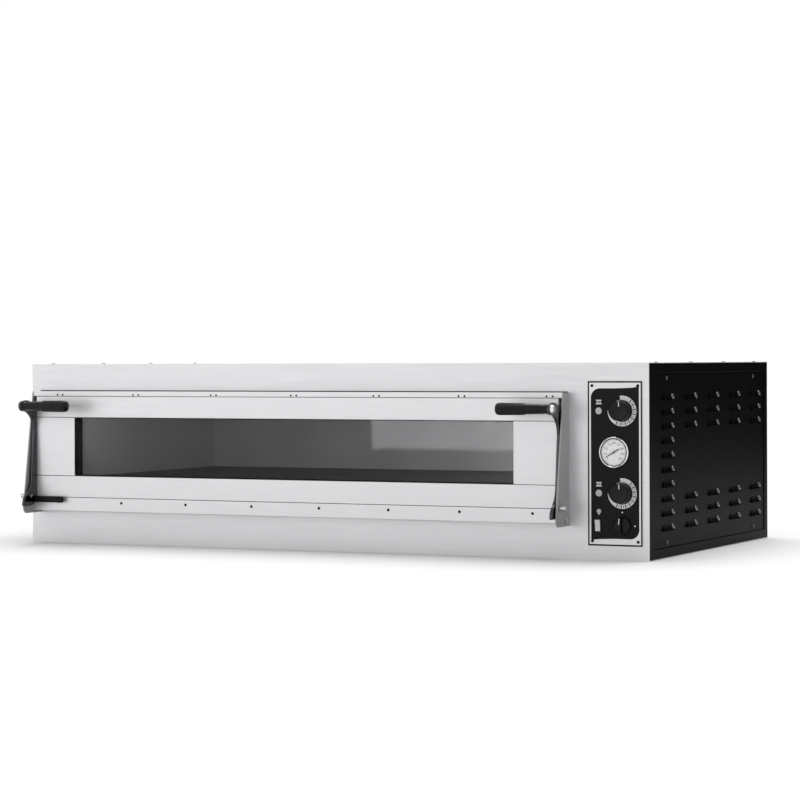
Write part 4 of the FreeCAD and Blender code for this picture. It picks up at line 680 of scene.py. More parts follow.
# ---- sub-assemblies ----
@dataclass
class SubAssembly:
    """A group of pieces that ride on one body of the frame."""

    body: str

    def add(self, name: str, shape: Shape, finish: Finish, slot: str, replaces: Sequence[str] = (),
            smooth_deg: float = 32.0, body: str = "") -> None:
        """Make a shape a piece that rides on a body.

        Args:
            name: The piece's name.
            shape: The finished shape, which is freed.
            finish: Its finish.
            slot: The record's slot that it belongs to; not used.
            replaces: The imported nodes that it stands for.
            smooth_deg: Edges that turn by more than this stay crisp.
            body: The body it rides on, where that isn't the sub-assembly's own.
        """
        mesh = bpy.data.meshes.new(name)
        shape.to_mesh(mesh)
        shape.free()
        mesh.shade_smooth()
        mesh.set_sharp_from_angle(angle=math.radians(smooth_deg))
        mesh.materials.append(finish.material())
        piece = bpy.data.objects.new(name, mesh)
        bpy.context.scene.collection.objects.link(piece)
        piece.modifiers.new("even_shading", "WEIGHTED_NORMAL").keep_sharp = True
        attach(piece, body or self.body)
        if replaces:
            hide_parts(*replaces)
        LOG.info("%s: %d faces, %s, on %s", name, len(mesh.polygons), finish.name, body or self.body)

    def dress(self, finish: Finish, *nodes: str) -> None:
        """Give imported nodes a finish.

        Args:
            finish: The finish.
            *nodes: The nodes' names.
        """
        for node in nodes:
            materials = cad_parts[node].data.materials
            materials.clear()
            materials.append(finish.material())
            LOG.info("%s: packed node in %s", node, finish.name)

    def soften(self, finish: Finish, slot: str, width: float, *nodes: str) -> None:
        """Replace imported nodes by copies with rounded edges.

        Args:
            finish: The copies' finish.
            slot: The record's slot.
            width: The width of the rounds.
            *nodes: The nodes' names.
        """
        for node in nodes:
            self.add(node + "_skin", softened(node, width), finish, slot, (node,))

    def screws(self, node: str, finish: Finish, slot: str, holder: Box, *ways: Vector) -> None:
        """Replace a node of screws by pan heads with cross recesses, where each one's head stands.

        Args:
            node: The node of screws.
            finish: The screws' finish.
            slot: The record's slot.
            holder: The box of what the screws hold, which their heads stand out of.
            *ways: The directions that the heads may face.
        """
        rim_share = 0.97
        least_height = 0.3
        heads = []
        for places in solids(node):
            middle = middle_of(box_of(places))
            way = min(ways, key=lambda w: abs(max(p.dot(w) for p in places) - max(c.dot(w) for c in holder)))
            reaches = [((p - middle - way * (p - middle).dot(way)).length, p.dot(way)) for p in places]
            radius = max(reaches)[0]
            top = max(level for reach, level in reaches)
            foot = min(level for reach, level in reaches if reach > radius * rim_share)
            height = max(top - foot, radius * least_height)
            seat = middle + way * (top - height - middle.dot(way))
            heads.append(transformed(cross_screw(radius, height), facing(way, seat)))
        self.add(node + "_heads", joined(heads), finish, slot, (node,))
# ---- cabinet ----
@dataclass
class CabinetShell(SubAssembly):
    """The covers, frames, louvred panels and their screws."""

    edge_round: float = 0.6 * MM
    press_round: float = 0.5 * MM
    louvre_length: float = 62.0 * MM
    louvre_height: float = 14.5 * MM
    louvre_rise: float = 4.5 * MM
    end_length: float = 8.0 * MM
    end_overlap: float = 0.4

    def build(self) -> None:
        """Build the shell's pieces."""
        self.dress(BRUSHED_STAINLESS, "top_cover", "front_fascia")
        self.dress(ALUMINISED_STEEL, "base_tray")
        self.dress(POWDER_BLACK, "back_cover")
        self.soften(POWDER_BLACK, "black_paint", self.edge_round, "side_frame_left", "side_frame_right")
        self.soften(POWDER_BLACK, "black_paint", self.press_round, "side_panel_left", "side_panel_right")
        low = Vector((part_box("side_frame_left")[0].x, 0.0, 0.0))
        high = Vector((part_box("side_frame_right")[1].x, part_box("back_cover")[1].y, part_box("top_cover")[1].z))
        self.screws("cabinet_screws", DULL_ZINC, "zinc_fastener", (low, high), RIGHT, -RIGHT, -FORWARD, UP)
        self.louvre_end_highlights("side_panel_left", -1.0)
        self.louvre_end_highlights("side_panel_right", 1.0)

    def louvre_end_highlights(self, node: str, side: float) -> None:
        """Build a pale rounded cap at the rear of each louvre, a painted highlight on its rear shoulder.

        Args:
            node: The panel's node.
            side: 1 for the right panel, -1 for the left one.
        """
        size = Matrix.Diagonal((self.louvre_rise, self.end_length, self.louvre_height / 2, 1.0))
        ends = []
        for place in self.louvre_rears(node, side):
            end = bmesh.new()
            bmesh.ops.create_uvsphere(end, u_segments=16, v_segments=10, radius=1.0)
            ends.append(transformed(end, Matrix.Translation(place) @ size))
        self.add(node + "_louvre_end_highlights", joined(ends), LOUVRE_END_PAINTED_HIGHLIGHT, "black_paint", smooth_deg=80.0)

    def louvre_rears(self, node: str, side: float) -> list[Vector]:
        """Find the middle of each louvre's rear end, on the panel's face.

        Args:
            node: The panel's node.
            side: 1 for the right panel, -1 for the left one.

        Returns:
            The places.
        """
        corners = [v.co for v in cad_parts[node].data.vertices]
        lip = max(c.x * side for c in corners)
        crests = {(round(c.y, 4), round(c.z, 4)) for c in corners if c.x * side > lip - 0.2 * MM}
        rears = [(y, z) for y, z in sorted(crests) if (round(y - self.louvre_length, 4), z) in crests]
        face = side * (lip - self.louvre_rise)
        back = self.end_length * self.end_overlap
        return [Vector((face, y - back, z + self.louvre_height / 2)) for y, z in rears]


@dataclass
class DoorSurround(SubAssembly):
    """The lintel, the sill, the cheeks and what fastens them."""

    edge_round: float = 0.5 * MM
    rivet_pairs: int = 7
    rivet_start: float = 0.36
    rivet_spacing: float = 14.0 * MM
    rivet_radius: float = 2.3 * MM
    rivet_rise: float = 3.0 * MM
    shadow_line_height: float = 2.2 * MM
    pin_head: float = 15.0 * MM
    pin_tail_share: float = 0.69
    washer: float = 0.8 * MM
    bolt_head: float = 3.2 * MM

    def build(self) -> None:
        """Build the surround's pieces."""
        self.soften(BRUSHED_STAINLESS, "stainless_front", self.edge_round, "door_lintel", "door_sill")
        self.soften(CHEEK_STEEL_PAINTED_SHADE, "grey_steel", self.edge_round, "cheek_left", "cheek_right")
        self.screws("sill_screws", BLACK_OXIDE, "black_screw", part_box("door_sill"), FORWARD)
        self.rivets()
        self.painted_shadow_lines()
        self.pins()
        self.bolts()

    def rivets(self) -> None:
        """Build the pairs of small dark rivets along the lintel's lower line."""
        low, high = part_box("door_lintel")
        step = (high.x - low.x) / (self.rivet_pairs - 0.5)
        profile = [(self.rivet_radius, 0.0), (self.rivet_radius * 0.8, 0.35 * MM), (0.0, 0.5 * MM)]
        heads = []
        for i in range(self.rivet_pairs):
            for side in (-0.5, 0.5):
                x = low.x + step * (i + self.rivet_start) + side * self.rivet_spacing
                place = on_front(Vector((x, low.y, low.z + self.rivet_rise)))
                heads.append(transformed(lathe(profile, 12), place))
        self.add("lintel_rivets", joined(heads), BLACK_OXIDE, "black_screw")

    def painted_shadow_lines(self) -> None:
        """Build dark beads that paint the shadow lines along the lintel's top edge and under the sill."""
        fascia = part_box("front_fascia")[0].y
        beads = []
        for node, foot in (("door_lintel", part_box("door_lintel")[1].z),
                           ("door_sill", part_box("door_sill")[0].z - self.shadow_line_height)):
            low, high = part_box(node)
            bead = cuboid((low.x, fascia - self.shadow_line_height, foot), (high.x, fascia, foot + self.shadow_line_height))
            beads.append(rounded(bead, 0.6 * MM))
        self.add("surround_painted_shadow_lines", joined(beads), GLOSS_ABS, "black_knob")

    def pins(self) -> None:
        """Build the pivot pins: a turned head outside each cheek and the tail inside the lever."""
        shapes = []
        for box in solid_boxes("hinge_pins"):
            side, place = outer_end(box)
            length = box[1].x - box[0].x
            radius = (box[1].z - box[0].z) / 2
            tail = radius * self.pin_tail_share
            groove = radius * 0.8
            head = self.pin_head
            profile = [(0.0, 0.0), (radius * 0.82, 0.0), (radius, 0.9 * MM), (radius, head - 3.0 * MM),
                       (groove, head - 2.6 * MM), (groove, head - 1.6 * MM), (radius, head - 1.2 * MM),
                       (radius, head), (tail, head), (tail, length - 0.5 * MM), (tail * 0.8, length),
                       (0.0, length)]
            shapes.append(transformed(lathe(profile, 32), facing(RIGHT * -side, place)))
        self.add("pivot_pins", joined(shapes), ZINC_PLATE, "zinc_fastener", ("hinge_pins",))

    def bolts(self) -> None:
        """Build the hexagon bolts of the cheeks with their chamfered heads and washers."""
        shapes = []
        for box in solid_boxes("cheek_bolts"):
            side, place = outer_end(box)
            corner = (box[1].y - box[0].y) / 2
            head = bmesh.new()
            bmesh.ops.create_cone(head, cap_ends=True, segments=6, radius1=corner, radius2=corner,
                                  depth=self.bolt_head)
            bmesh.ops.translate(head, verts=head.verts, vec=(0, 0, -self.bolt_head / 2))
            rim, foot = corner * 1.25, -self.bolt_head - self.washer
            washer = lathe([(0.0, foot), (rim, foot), (rim, -self.bolt_head), (0.0, -self.bolt_head)], 28)
            shapes.append(transformed(joined([rounded(head, 0.5 * MM), washer]), facing(RIGHT * side, place)))
        self.add("cheek_bolt_heads", joined(shapes), ZINC_PLATE, "zinc_fastener", ("cheek_bolts",))


# ---- inside ----
@dataclass
class BakingChamber(SubAssembly):
    """The lined chamber with its stones, elements, lamp and insulation."""

    stone_round: float = 1.5 * MM
    bulb_watts: float = 4.5
    roof_gap: float = 4.0 * MM
    pool_width: float = 640.0 * MM
    pool_height: float = 120.0 * MM
    pool_from_lamp: float = 105.0 * MM
    pool_from_back: float = 60.0 * MM
    pool_spread_deg: float = 20.0
    pool_watts: float = 0.11
    glow_width: float = 1100.0 * MM
    glow_height: float = 110.0 * MM
    glow_from_back: float = 640.0 * MM
    glow_watts: float = 1.15

    def build(self) -> None:
        """Build the chamber's pieces and its light."""
        self.dress(BAKED_STEEL, "chamber_roof", "chamber_sides", "chamber_floor", "stone_supports",
                   "element_saddles")
        self.dress(SPANGLED_STEEL_PAINTED_LIT, "chamber_back")
        self.dress(HEATED_STEEL, "heating_elements", "sensing_bulbs")
        self.dress(MINERAL_WOOL, "insulation")
        self.dress(POLYAMIDE, "lamp_holder")
        self.stones()
        self.lamp_lens()
        self.lamp_light()
        self.lamp_pool()
        self.liner_glow()

    def stones(self) -> None:
        """Build the baking stones with worn edges."""
        slabs = [rounded(cuboid(*box), self.stone_round, 3) for box in solid_boxes("baking_stones")]
        self.add("baking_stone_slabs", joined(slabs), CORDIERITE_PAINTED_SHADE, "baking_stone", ("baking_stones",))

    def lamp_lens(self) -> None:
        """Build the domed lens of the chamber lamp."""
        low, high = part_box("lamp_glass")
        radius = (high.z - low.z) / 2
        depth = high.x - low.x
        profile = [(0.0, depth), (radius * 0.5, depth * 0.94), (radius * 0.8, depth * 0.72),
                   (radius * 0.92, depth * 0.4), (radius, depth * 0.34), (radius, 0.0), (0.0, 0.0)]
        middle = middle_of((low, high))
        place = facing(-RIGHT, Vector((high.x, middle.y, middle.z)))
        self.add("chamber_lamp_lens", transformed(lathe(profile), place), LAMP_LENS, "clear_glass",
                 ("lamp_glass",))

    def lamp_light(self) -> None:
        """Light the chamber from its own lamp, just inside the lens."""
        low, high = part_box("lamp_glass")
        middle = middle_of((low, high))
        radius = (high.z - low.z) / 2
        hang_light("chamber_bulb", "POINT", self.bulb_watts, Vector((low.x - radius, middle.y, middle.z)),
                   -RIGHT, shadow_soft_size=radius / 2)

    def lamp_pool(self) -> None:
        """Light the pool with a plain edge that the lamp's reflector throws on the back sheet."""
        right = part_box("lamp_glass")[0].x - self.pool_from_lamp
        self.back_light("lamp_reflector_pool", right - self.pool_width / 2, self.pool_from_back,
                        (self.pool_width, self.pool_height), self.pool_watts, self.pool_spread_deg)

    def liner_glow(self) -> None:
        """Light the back sheet evenly, for the light that the bright liner throws about."""
        self.back_light("chamber_liner_glow", middle_of(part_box("chamber_roof")).x, self.glow_from_back,
                        (self.glow_width, self.glow_height), self.glow_watts, 180.0)

    def back_light(self, name: str, x: float, from_back: float, size: tuple[float, float], watts: float,
                   spread_deg: float) -> None:
        """Hang an upright rectangular light under the roof that faces the back sheet.

        Args:
            name: The light's name.
            x: Its middle from side to side.
            from_back: How far it hangs from the back sheet.
            size: Its width and height.
            watts: Its power.
            spread_deg: How far its rays spread.
        """
        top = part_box("chamber_roof")[0].z - self.roof_gap
        place = Vector((x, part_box("chamber_back")[0].y - from_back, top - size[1] / 2))
        hang_light(name, "AREA", watts, place, -FORWARD, shape="RECTANGLE", size=size[0], size_y=size[1],
                   spread=math.radians(spread_deg))


@dataclass
class Electrics(SubAssembly):
    """The electrical compartment and the cable gland."""

    gland_ribs: int = 20
    gland_bore: float = 5.5 * MM
    gland_nut: float = 9.0 * MM
    groove_share: float = 0.06

    def build(self) -> None:
        """Build the compartment's pieces."""
        self.dress(ALUMINISED_STEEL, "electrics_partition")
        self.dress(POLYAMIDE, "thermostats", "selector_switch", "control_gear")
        self.gland()

    def gland(self) -> None:
        """Build the gland's collar, ribbed dome and open bore."""
        low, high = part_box("cable_gland")
        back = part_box("back_cover")[1].y
        radius = (high.x - low.x) / 2
        collar = radius * 0.98
        dome = radius * 0.76
        tail = low.y - back
        reach = high.y - back
        profile = [(self.gland_bore, tail), (collar, tail), (collar, 0.0), (collar, self.gland_nut),
                   (dome, self.gland_nut + 0.2 * MM), (dome, reach - 5.0 * MM),
                   (dome * 0.9, reach - 1.5 * MM), (dome * 0.75, reach), (self.gland_bore, reach),
                   (self.gland_bore, tail)]
        shape = fluted(profile, self.gland_ribs, self.gland_nut, reach - 2.0 * MM, self.groove_share)
        middle = middle_of((low, high))
        place = facing(-FORWARD, Vector((middle.x, back, middle.z)))
        self.add("cable_gland_body", transformed(shape, place), POLYAMIDE, "switch_body", ("cable_gland",))


# ---- door ----
@dataclass
class DoorLeaf(SubAssembly):
    """The framed double-glazed leaf."""

    edge_round: float = 0.6 * MM
    joint_width: float = 1.3 * MM
    shadow_line_proud: float = 0.1 * MM
    shadow_line_depth: float = 1.0 * MM
    border_end: float = 9.0 * MM
    border_side: float = 2.0 * MM
    enamel: float = 0.08 * MM
    enamel_gap: float = 0.1 * MM

    def build(self) -> None:
        """Build the leaf's pieces."""
        self.soften(BRUSHED_STAINLESS, "stainless_front", self.edge_round,
                    "door_upper_rail", "door_lower_rail", "door_stiles")
        self.dress(TINTED_GLASS, "outer_glass")
        self.dress(CLEAR_GLASS, "inner_glass")
        self.dress(BLACK_OXIDE, "door_inner_frame")
        self.dress(BLACK_SILICONE, "glass_spacer")
        self.dress(FIBRE_ROPE, "door_gasket")
        self.joint_shadow_lines()
        self.pane_border()

    def joint_shadow_lines(self) -> None:
        """Build dark lines that paint the shade in the gap where each stile meets the rails."""
        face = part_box("door_stiles")[0].y
        beads = []
        for low, high in solid_boxes("door_stiles"):
            for z in (low.z, high.z):
                bead = cuboid((low.x + self.edge_round, face - self.shadow_line_proud, z - self.joint_width / 2),
                              (high.x - self.edge_round, face + self.shadow_line_depth, z + self.joint_width / 2))
                beads.append(rounded(bead, 0.05 * MM, 1))
        self.add("door_joint_painted_shadow", joined(beads), BLACK_OXIDE, "black_screw")

    def pane_border(self) -> None:
        """Build the black enamel border on the inner pane, wider at its ends."""
        left_stile, right_stile = solid_boxes("door_stiles")
        left, right = left_stile[1].x, right_stile[0].x
        low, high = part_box("door_stiles")
        shape = border(right - left, high.z - low.z, self.border_end, self.border_side)
        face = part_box("inner_glass")[0].y - self.enamel_gap
        place = on_front(Vector(((left + right) / 2, face, (low.z + high.z) / 2)))
        self.add("pane_enamel_border", transformed(raised(shape, self.enamel), place), BLACK_SILICONE,
                 "seal_rope")


@dataclass
class LeversAndGrips(SubAssembly):
    """The two cast levers, their grips and the foot bar."""

    casting_round: float = 1.4 * MM
    bar_round: float = 1.2 * MM
    flutes: int = 30
    flute_depth: float = 0.5 * MM
    barrel_gap: float = 0.1 * MM
    taper_share: float = 0.44

    def build(self) -> None:
        """Build the levers and the grips."""
        for node in ("lever_left", "lever_right"):
            self.add(node + "_casting", softened(node, self.casting_round, 3), CHROME_PAINTED_DARK,
                     "chromed_casting", (node,), smooth_deg=50.0)
        span = (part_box("lever_left")[0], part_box("lever_right")[1])
        self.screws("lever_screws", ZINC_PLATE, "zinc_fastener", span, RIGHT, -RIGHT)
        self.soften(BLACK_OXIDE, "black_screw", self.bar_round, "foot_bar")
        self.grips()
        self.nuts()

    def grips(self) -> None:
        """Build each grip: a collar at the lever, a taper, and a fluted barrel with a round cap."""
        barrels = []
        for box in solid_boxes("grips"):
            side, place = outer_end(box)
            radius = (box[1].z - box[0].z) / 2 - self.barrel_gap
            barrel = self.barrel(radius, box[1].x - box[0].x)
            barrels.append(transformed(barrel, facing(RIGHT * -side, place)))
        self.add("grip_barrels", joined(barrels), PHENOLIC, "black_grip", ("grips",), smooth_deg=60.0)

    def barrel(self, radius: float, length: float) -> Shape:
        """Make a grip along +Z, from the lever to its round cap.

        Args:
            radius: Its largest radius.
            length: Its length.

        Returns:
            The grip.
        """
        step = length * self.taper_share
        profile = [(0.0, 0.0), (radius * 0.72, 0.0), (radius * 0.78, 1.5 * MM), (radius * 0.78, 6.0 * MM),
                   (radius * 0.7, 7.0 * MM), (radius * 0.7, 9.0 * MM), (radius * 0.77, 10.5 * MM),
                   (radius * 0.84, step - 2.0 * MM), (radius * 0.88, step),
                   (radius * 0.96, step + 3.0 * MM), (radius * 0.985, length * 0.7),
                   (radius, length - 14.0 * MM), (radius, length - 9.0 * MM),
                   (radius * 0.96, length - 5.0 * MM), (radius * 0.84, length - 2.0 * MM),
                   (radius * 0.55, length - 0.4 * MM), (0.0, length)]
        return fluted(profile, self.flutes, step + 1.0 * MM, length - 8.0 * MM, self.flute_depth / radius)

    def nuts(self) -> None:
        """Build the domed nuts outside the levers."""
        shapes = []
        for box in solid_boxes("grip_nuts"):
            side, outer = outer_end(box)
            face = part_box("lever_right")[1].x if side > 0 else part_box("lever_left")[0].x
            height = abs(outer.x - face)
            radius = (box[1].z - box[0].z) / 2
            profile = [(0.0, 0.0), (radius, 0.0), (radius, height * 0.3), (radius * 0.93, height * 0.62),
                       (radius * 0.72, height * 0.86), (radius * 0.4, height * 0.98), (0.0, height)]
            place = facing(RIGHT * side, Vector((face, outer.y, outer.z)))
            shapes.append(transformed(lathe(profile, 32), place))
        self.add("grip_dome_nuts", joined(shapes), CHROME, "zinc_fastener", ("grip_nuts",), smooth_deg=60.0)


# ---- control panel ----
@dataclass
class ControlPanel(SubAssembly):
    """The printed plate with its knobs, lamps and rocker."""

    print_lift: float = 0.08 * MM
    print_height: float = 0.06 * MM
    plate_round: float = 0.4 * MM
    line_width: float = 3.2 * MM
    line_inset: float = 0.5 * MM
    field_side: float = 7.4 * MM
    field_end: float = 15.5 * MM
    corner_radius: float = 20.0 * MM
    screw_inset: float = 10.0 * MM
    ring_inner: float = 22.9 * MM
    ring_outer: float = 32.0 * MM
    ring_start_deg: float = -9.0
    ring_sweep_deg: float = 281.0
    ring_taper_deg: float = 205.0
    ticks: int = 17
    first_tick_deg: float = 42.0
    tick_step_deg: float = 10.2
    symbol_rise: float = 18.7 * MM
    knob_gap: float = 1.2 * MM
    knob_flutes: int = 36
    flute_share: float = 0.025
    ridge_drop: float = 2.2 * MM

    def build(self) -> None:
        """Build the panel's pieces."""
        self.soften(BRUSHED_STAINLESS, "stainless_front", self.plate_round, "control_plate")
        self.screws("control_screws", BLACK_OXIDE, "black_screw", self.plate, FORWARD)
        self.edge_line()
        self.field()
        self.scales()
        self.marks()
        self.round_knob("upper_knob")
        self.round_knob("lower_knob")
        self.selector()
        self.lamps()
        self.rocker()

    @property
    def plate(self) -> Box:
        """Return the control plate's box."""
        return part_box("control_plate")

    def place(self, x: float, z: float, layer: int = 0) -> Matrix:
        """Return the matrix that puts a print on the plate at (x, z), on a layer."""
        return on_front(Vector((x, self.plate[0].y - self.print_lift - layer * self.print_height, z)))

    def edge_line(self) -> None:
        """Build the black line round the plate's edge."""
        size = self.plate[1] - self.plate[0]
        line = border(size.x - 2 * self.line_inset, size.z - 2 * self.line_inset, self.line_width,
                      self.line_width)
        middle = middle_of(self.plate)
        shape = transformed(raised(line, self.print_height), self.place(middle.x, middle.z))
        self.add("panel_border", shape, BLACK_INK, "control_face")

    def field(self) -> None:
        """Build the black field: two round corners, and two that are drawn out to the screws."""
        size = self.plate[1] - self.plate[0]
        width = size.x - 2 * self.field_side
        height = size.z - 2 * self.field_end
        reach = self.field_end - self.screw_inset
        shape = panel(width, height)
        round_corners = [v for v in shape.verts if v.co.x * v.co.y < 0]
        bmesh.ops.bevel(shape, geom=round_corners, offset=self.corner_radius, offset_type="OFFSET",
                        segments=10, profile=0.5, affect="VERTICES", material=-1)
        rows = [e for e in shape.edges if e.calc_length() > width / 2 and
                abs(e.verts[0].co.y - e.verts[1].co.y) < 1e-9]
        bmesh.ops.subdivide_edges(shape, edges=rows, cuts=12)
        for vert in shape.verts:
            side = math.copysign(1.0, vert.co.y)
            along = side * vert.co.x / (width / 2)
            if along > 0 and side * vert.co.y > height / 2 - 1e-6:
                vert.co.y += side * reach * (0.3 * along + 0.7 * along ** 8)
        middle = middle_of(self.plate)
        self.add("panel_field", transformed(raised(shape, self.print_height), self.place(middle.x, middle.z)),
                 BLACK_INK, "control_face")

    def scales(self) -> None:
        """Build the white crescent scales round both thermostat knobs, with their black ticks."""
        whites = []
        ticks = []
        for node in ("upper_knob", "lower_knob"):
            middle = middle_of(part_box(node))
            hook = sector(self.ring_inner, self.ring_inner + 1.0 * MM, -34.0, 26.0, 10)
            for shape in (self.crescent(), raised(hook, self.print_height)):
                whites.append(transformed(shape, self.place(middle.x, middle.z, 1)))
            for i in range(self.ticks):
                width, length = (1.2 * MM, 4.6 * MM) if i % 2 else (2.1 * MM, 7.0 * MM)
                mark = tick(width, length, self.ring_inner + 4.9 * MM,
                            self.first_tick_deg + self.tick_step_deg * i, self.print_height)
                ticks.append(transformed(mark, self.place(middle.x, middle.z, 2)))
        self.add("thermostat_scales", joined(whites), WHITE_INK, "white_dial")
        self.add("thermostat_ticks", joined(ticks), BLACK_INK, "control_face")

    def crescent(self) -> Shape:
        """Make a scale: a straight cut at the top, full width past the bottom, a point at the left.

        Returns:
            The scale.
        """
        shape = sector(self.ring_inner, self.ring_outer, self.ring_start_deg, self.ring_sweep_deg, 72)
        taper = self.ring_start_deg + self.ring_sweep_deg - self.ring_taper_deg
        width = self.ring_outer - self.ring_inner - 0.4 * MM
        for vert in shape.verts:
            angle = math.degrees(math.atan2(vert.co.x, vert.co.y)) % 360
            past = (angle - self.ring_taper_deg) / taper
            if 0 < past <= 1.001 and vert.co.length < (self.ring_inner + self.ring_outer) / 2:
                vert.co *= (self.ring_inner + width * past ** 0.8) / vert.co.length
        return raised(shape, self.print_height)

    def marks(self) -> None:
        """Build the selector's white dots, the heating symbols and the point under the small lamp."""
        shapes = []
        knob = middle_of(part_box("selector_knob"))
        reach = 28.0 * MM
        for x, z in ((knob.x, knob.z + reach), (knob.x + reach, knob.z)):
            shapes.append(transformed(raised(disc(1.7 * MM, 20), self.print_height), self.place(x, z, 1)))
        small_lamp, *signal_lamps = self.lamp_places()
        for x, z, _ in signal_lamps:
            shapes.append(transformed(self.heat_symbol(), self.place(x, z + self.symbol_rise, 1)))
        x, z, radius = small_lamp
        point = transformed(raised(disc(2.4 * MM, 3), self.print_height), turned(180.0))
        shapes.append(transformed(point, self.place(x, z - radius - 0.9 * MM, 1)))
        self.add("panel_marks", joined(shapes), WHITE_INK, "white_dial")

    def heat_symbol(self) -> Shape:
        """Make a generic heating symbol: two bars with three risers between them.

        Returns:
            The symbol.
        """
        bars = [(0.0, 3.4 * MM, 12.0 * MM, 2.2 * MM), (0.0, -3.6 * MM, 12.0 * MM, 2.6 * MM)]
        bars += [(x * MM, 0.0, 1.5 * MM, 3.4 * MM) for x in (-3.6, 0.0, 3.6)]
        return joined(transformed(raised(panel(width, height), self.print_height),
                                  Matrix.Translation((x, y, 0.0))) for x, y, width, height in bars)

    def lamp_places(self) -> list[tuple[float, float, float]]:
        """Find the indicator lamps.

        Returns:
            The (x, z, radius) of each one, lowest first.
        """
        boxes = solid_boxes("indicator_lamps")
        places = [(middle_of(box).x, middle_of(box).z, (box[1].z - box[0].z) / 2) for box in boxes]
        return sorted(places, key=lambda place: place[1])

    def knob_seat(self, node: str) -> tuple[Matrix, float, float]:
        """Find where a knob stands.

        Args:
            node: The knob's node.

        Returns:
            The matrix that puts a knob there, its radius and its height.
        """
        low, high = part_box(node)
        back = self.plate[0].y - self.knob_gap
        middle = middle_of((low, high))
        return on_front(Vector((middle.x, back, middle.z))), (high.x - low.x) / 2, back - low.y

    def round_knob(self, node: str) -> None:
        """Build a thermostat knob: a skirt, a fluted barrel, a dished face and a white pointer.

        Args:
            node: The knob's node, which its body is named for.
        """
        seat, radius, height = self.knob_seat(node)
        dish = height - 0.9 * MM
        profile = [(0.0, 0.0), (radius, 0.0), (radius, 2.6 * MM), (radius * 0.955, 4.0 * MM),
                   (radius * 0.95, 6.0 * MM), (radius * 0.92, height - 2.4 * MM),
                   (radius * 0.87, height - 0.6 * MM), (radius * 0.8, height),
                   (radius * 0.68, height - 0.2 * MM), (radius * 0.62, dish), (0.0, dish)]
        shape = fluted(profile, self.knob_flutes, 3.9 * MM, height - 2.0 * MM, self.flute_share)
        self.add(node + "_body", transformed(shape, seat), PHENOLIC, "black_knob", (node,),
                 smooth_deg=50.0, body=node)
        half_width = 0.95 * MM
        line = cuboid((-half_width, radius * 0.44, height - 1.2 * MM),
                      (half_width, radius * 0.88, height - 0.02 * MM))
        self.add(node + "_pointer", transformed(line, seat), WHITE_INK, "white_dial", body=node)

    def selector(self) -> None:
        """Build the selector knob: a domed skirt with a waisted ridge and a white line along it."""
        node = "selector_knob"
        seat, radius, height = self.knob_seat(node)
        skirt = 6.0 * MM
        base = lathe([(0.0, 0.0), (radius, 0.0), (radius, skirt * 0.4), (radius * 0.97, skirt * 0.7),
                      (radius * 0.86, skirt * 1.15), (radius * 0.5, skirt * 1.5), (0.0, skirt * 1.6)], 64)
        half = 4.6 * MM
        ridge = cuboid((-half, -radius * 0.93, skirt * 0.6), (half, radius * 0.93, height))
        long_edges = [e for e in ridge.edges if abs((e.verts[0].co - e.verts[1].co).y) > half]
        bmesh.ops.subdivide_edges(ridge, edges=long_edges, cuts=8, use_grid_fill=True)
        for vert in ridge.verts:
            along = vert.co.y / radius
            vert.co.x *= 0.72 + 0.28 * along ** 2
            if vert.co.z > skirt:
                vert.co.z -= self.ridge_drop * along ** 2
                vert.co.x *= 0.86
        rounded(ridge, 1.0 * MM, 3, 50.0)
        self.add(node + "_body", transformed(joined([base, ridge]), seat), PHENOLIC, "black_knob", (node,),
                 smooth_deg=50.0, body=node)
        half_width = 0.8 * MM
        line = cuboid((-half_width, radius * 0.2, height - 2.4 * MM), (half_width, radius * 0.84, height))
        long_edges = [e for e in line.edges if e.calc_length() > radius * 0.5]
        bmesh.ops.subdivide_edges(line, edges=long_edges, cuts=8, use_grid_fill=True)
        for vert in line.verts:
            vert.co.z -= self.ridge_drop * (vert.co.y / radius) ** 2 - 0.1 * MM
        self.add("selector_pointer", transformed(line, seat), WHITE_INK, "white_dial", body=node)

    def lamps(self) -> None:
        """Build each lamp's bezel ring and its ribbed lens."""
        lenses = []
        rings = []
        face = self.plate[0].y
        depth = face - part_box("indicator_lamps")[0].y
        for x, z, radius in self.lamp_places():
            place = on_front(Vector((x, face, z)))
            core = radius * 0.7
            lens = [(0.0, 0.0), (core, 0.0), (core, depth * 0.6), (core * 0.8, depth * 0.9),
                    (core * 0.5, depth), (core * 0.42, depth * 0.86), (0.0, depth * 0.9)]
            ring = [(core, 0.0), (radius, 0.0), (radius, depth * 0.3), (radius * 0.93, depth * 0.55),
                    (radius * 0.8, depth * 0.6), (core, depth * 0.35), (core, 0.0)]
            lenses.append(transformed(lathe(lens, 32), place))
            rings.append(transformed(lathe(ring, 32), place))
        self.add("lamp_lenses", joined(lenses), LAMP_LENS, "lamp_lens", ("indicator_lamps",))
        self.add("lamp_rings", joined(rings), ROCKER_NYLON, "lamp_lens")

    def rocker(self) -> None:
        """Build the rocker and its housing with rounded edges."""
        self.soften(GLOSS_ABS, "black_knob", 0.4 * MM, "rocker_housing")
        self.add("rocker_cap", softened("rocker", 0.6 * MM, 3), ROCKER_NYLON, "rocker_face", ("rocker",),
                 smooth_deg=50.0, body="rocker")


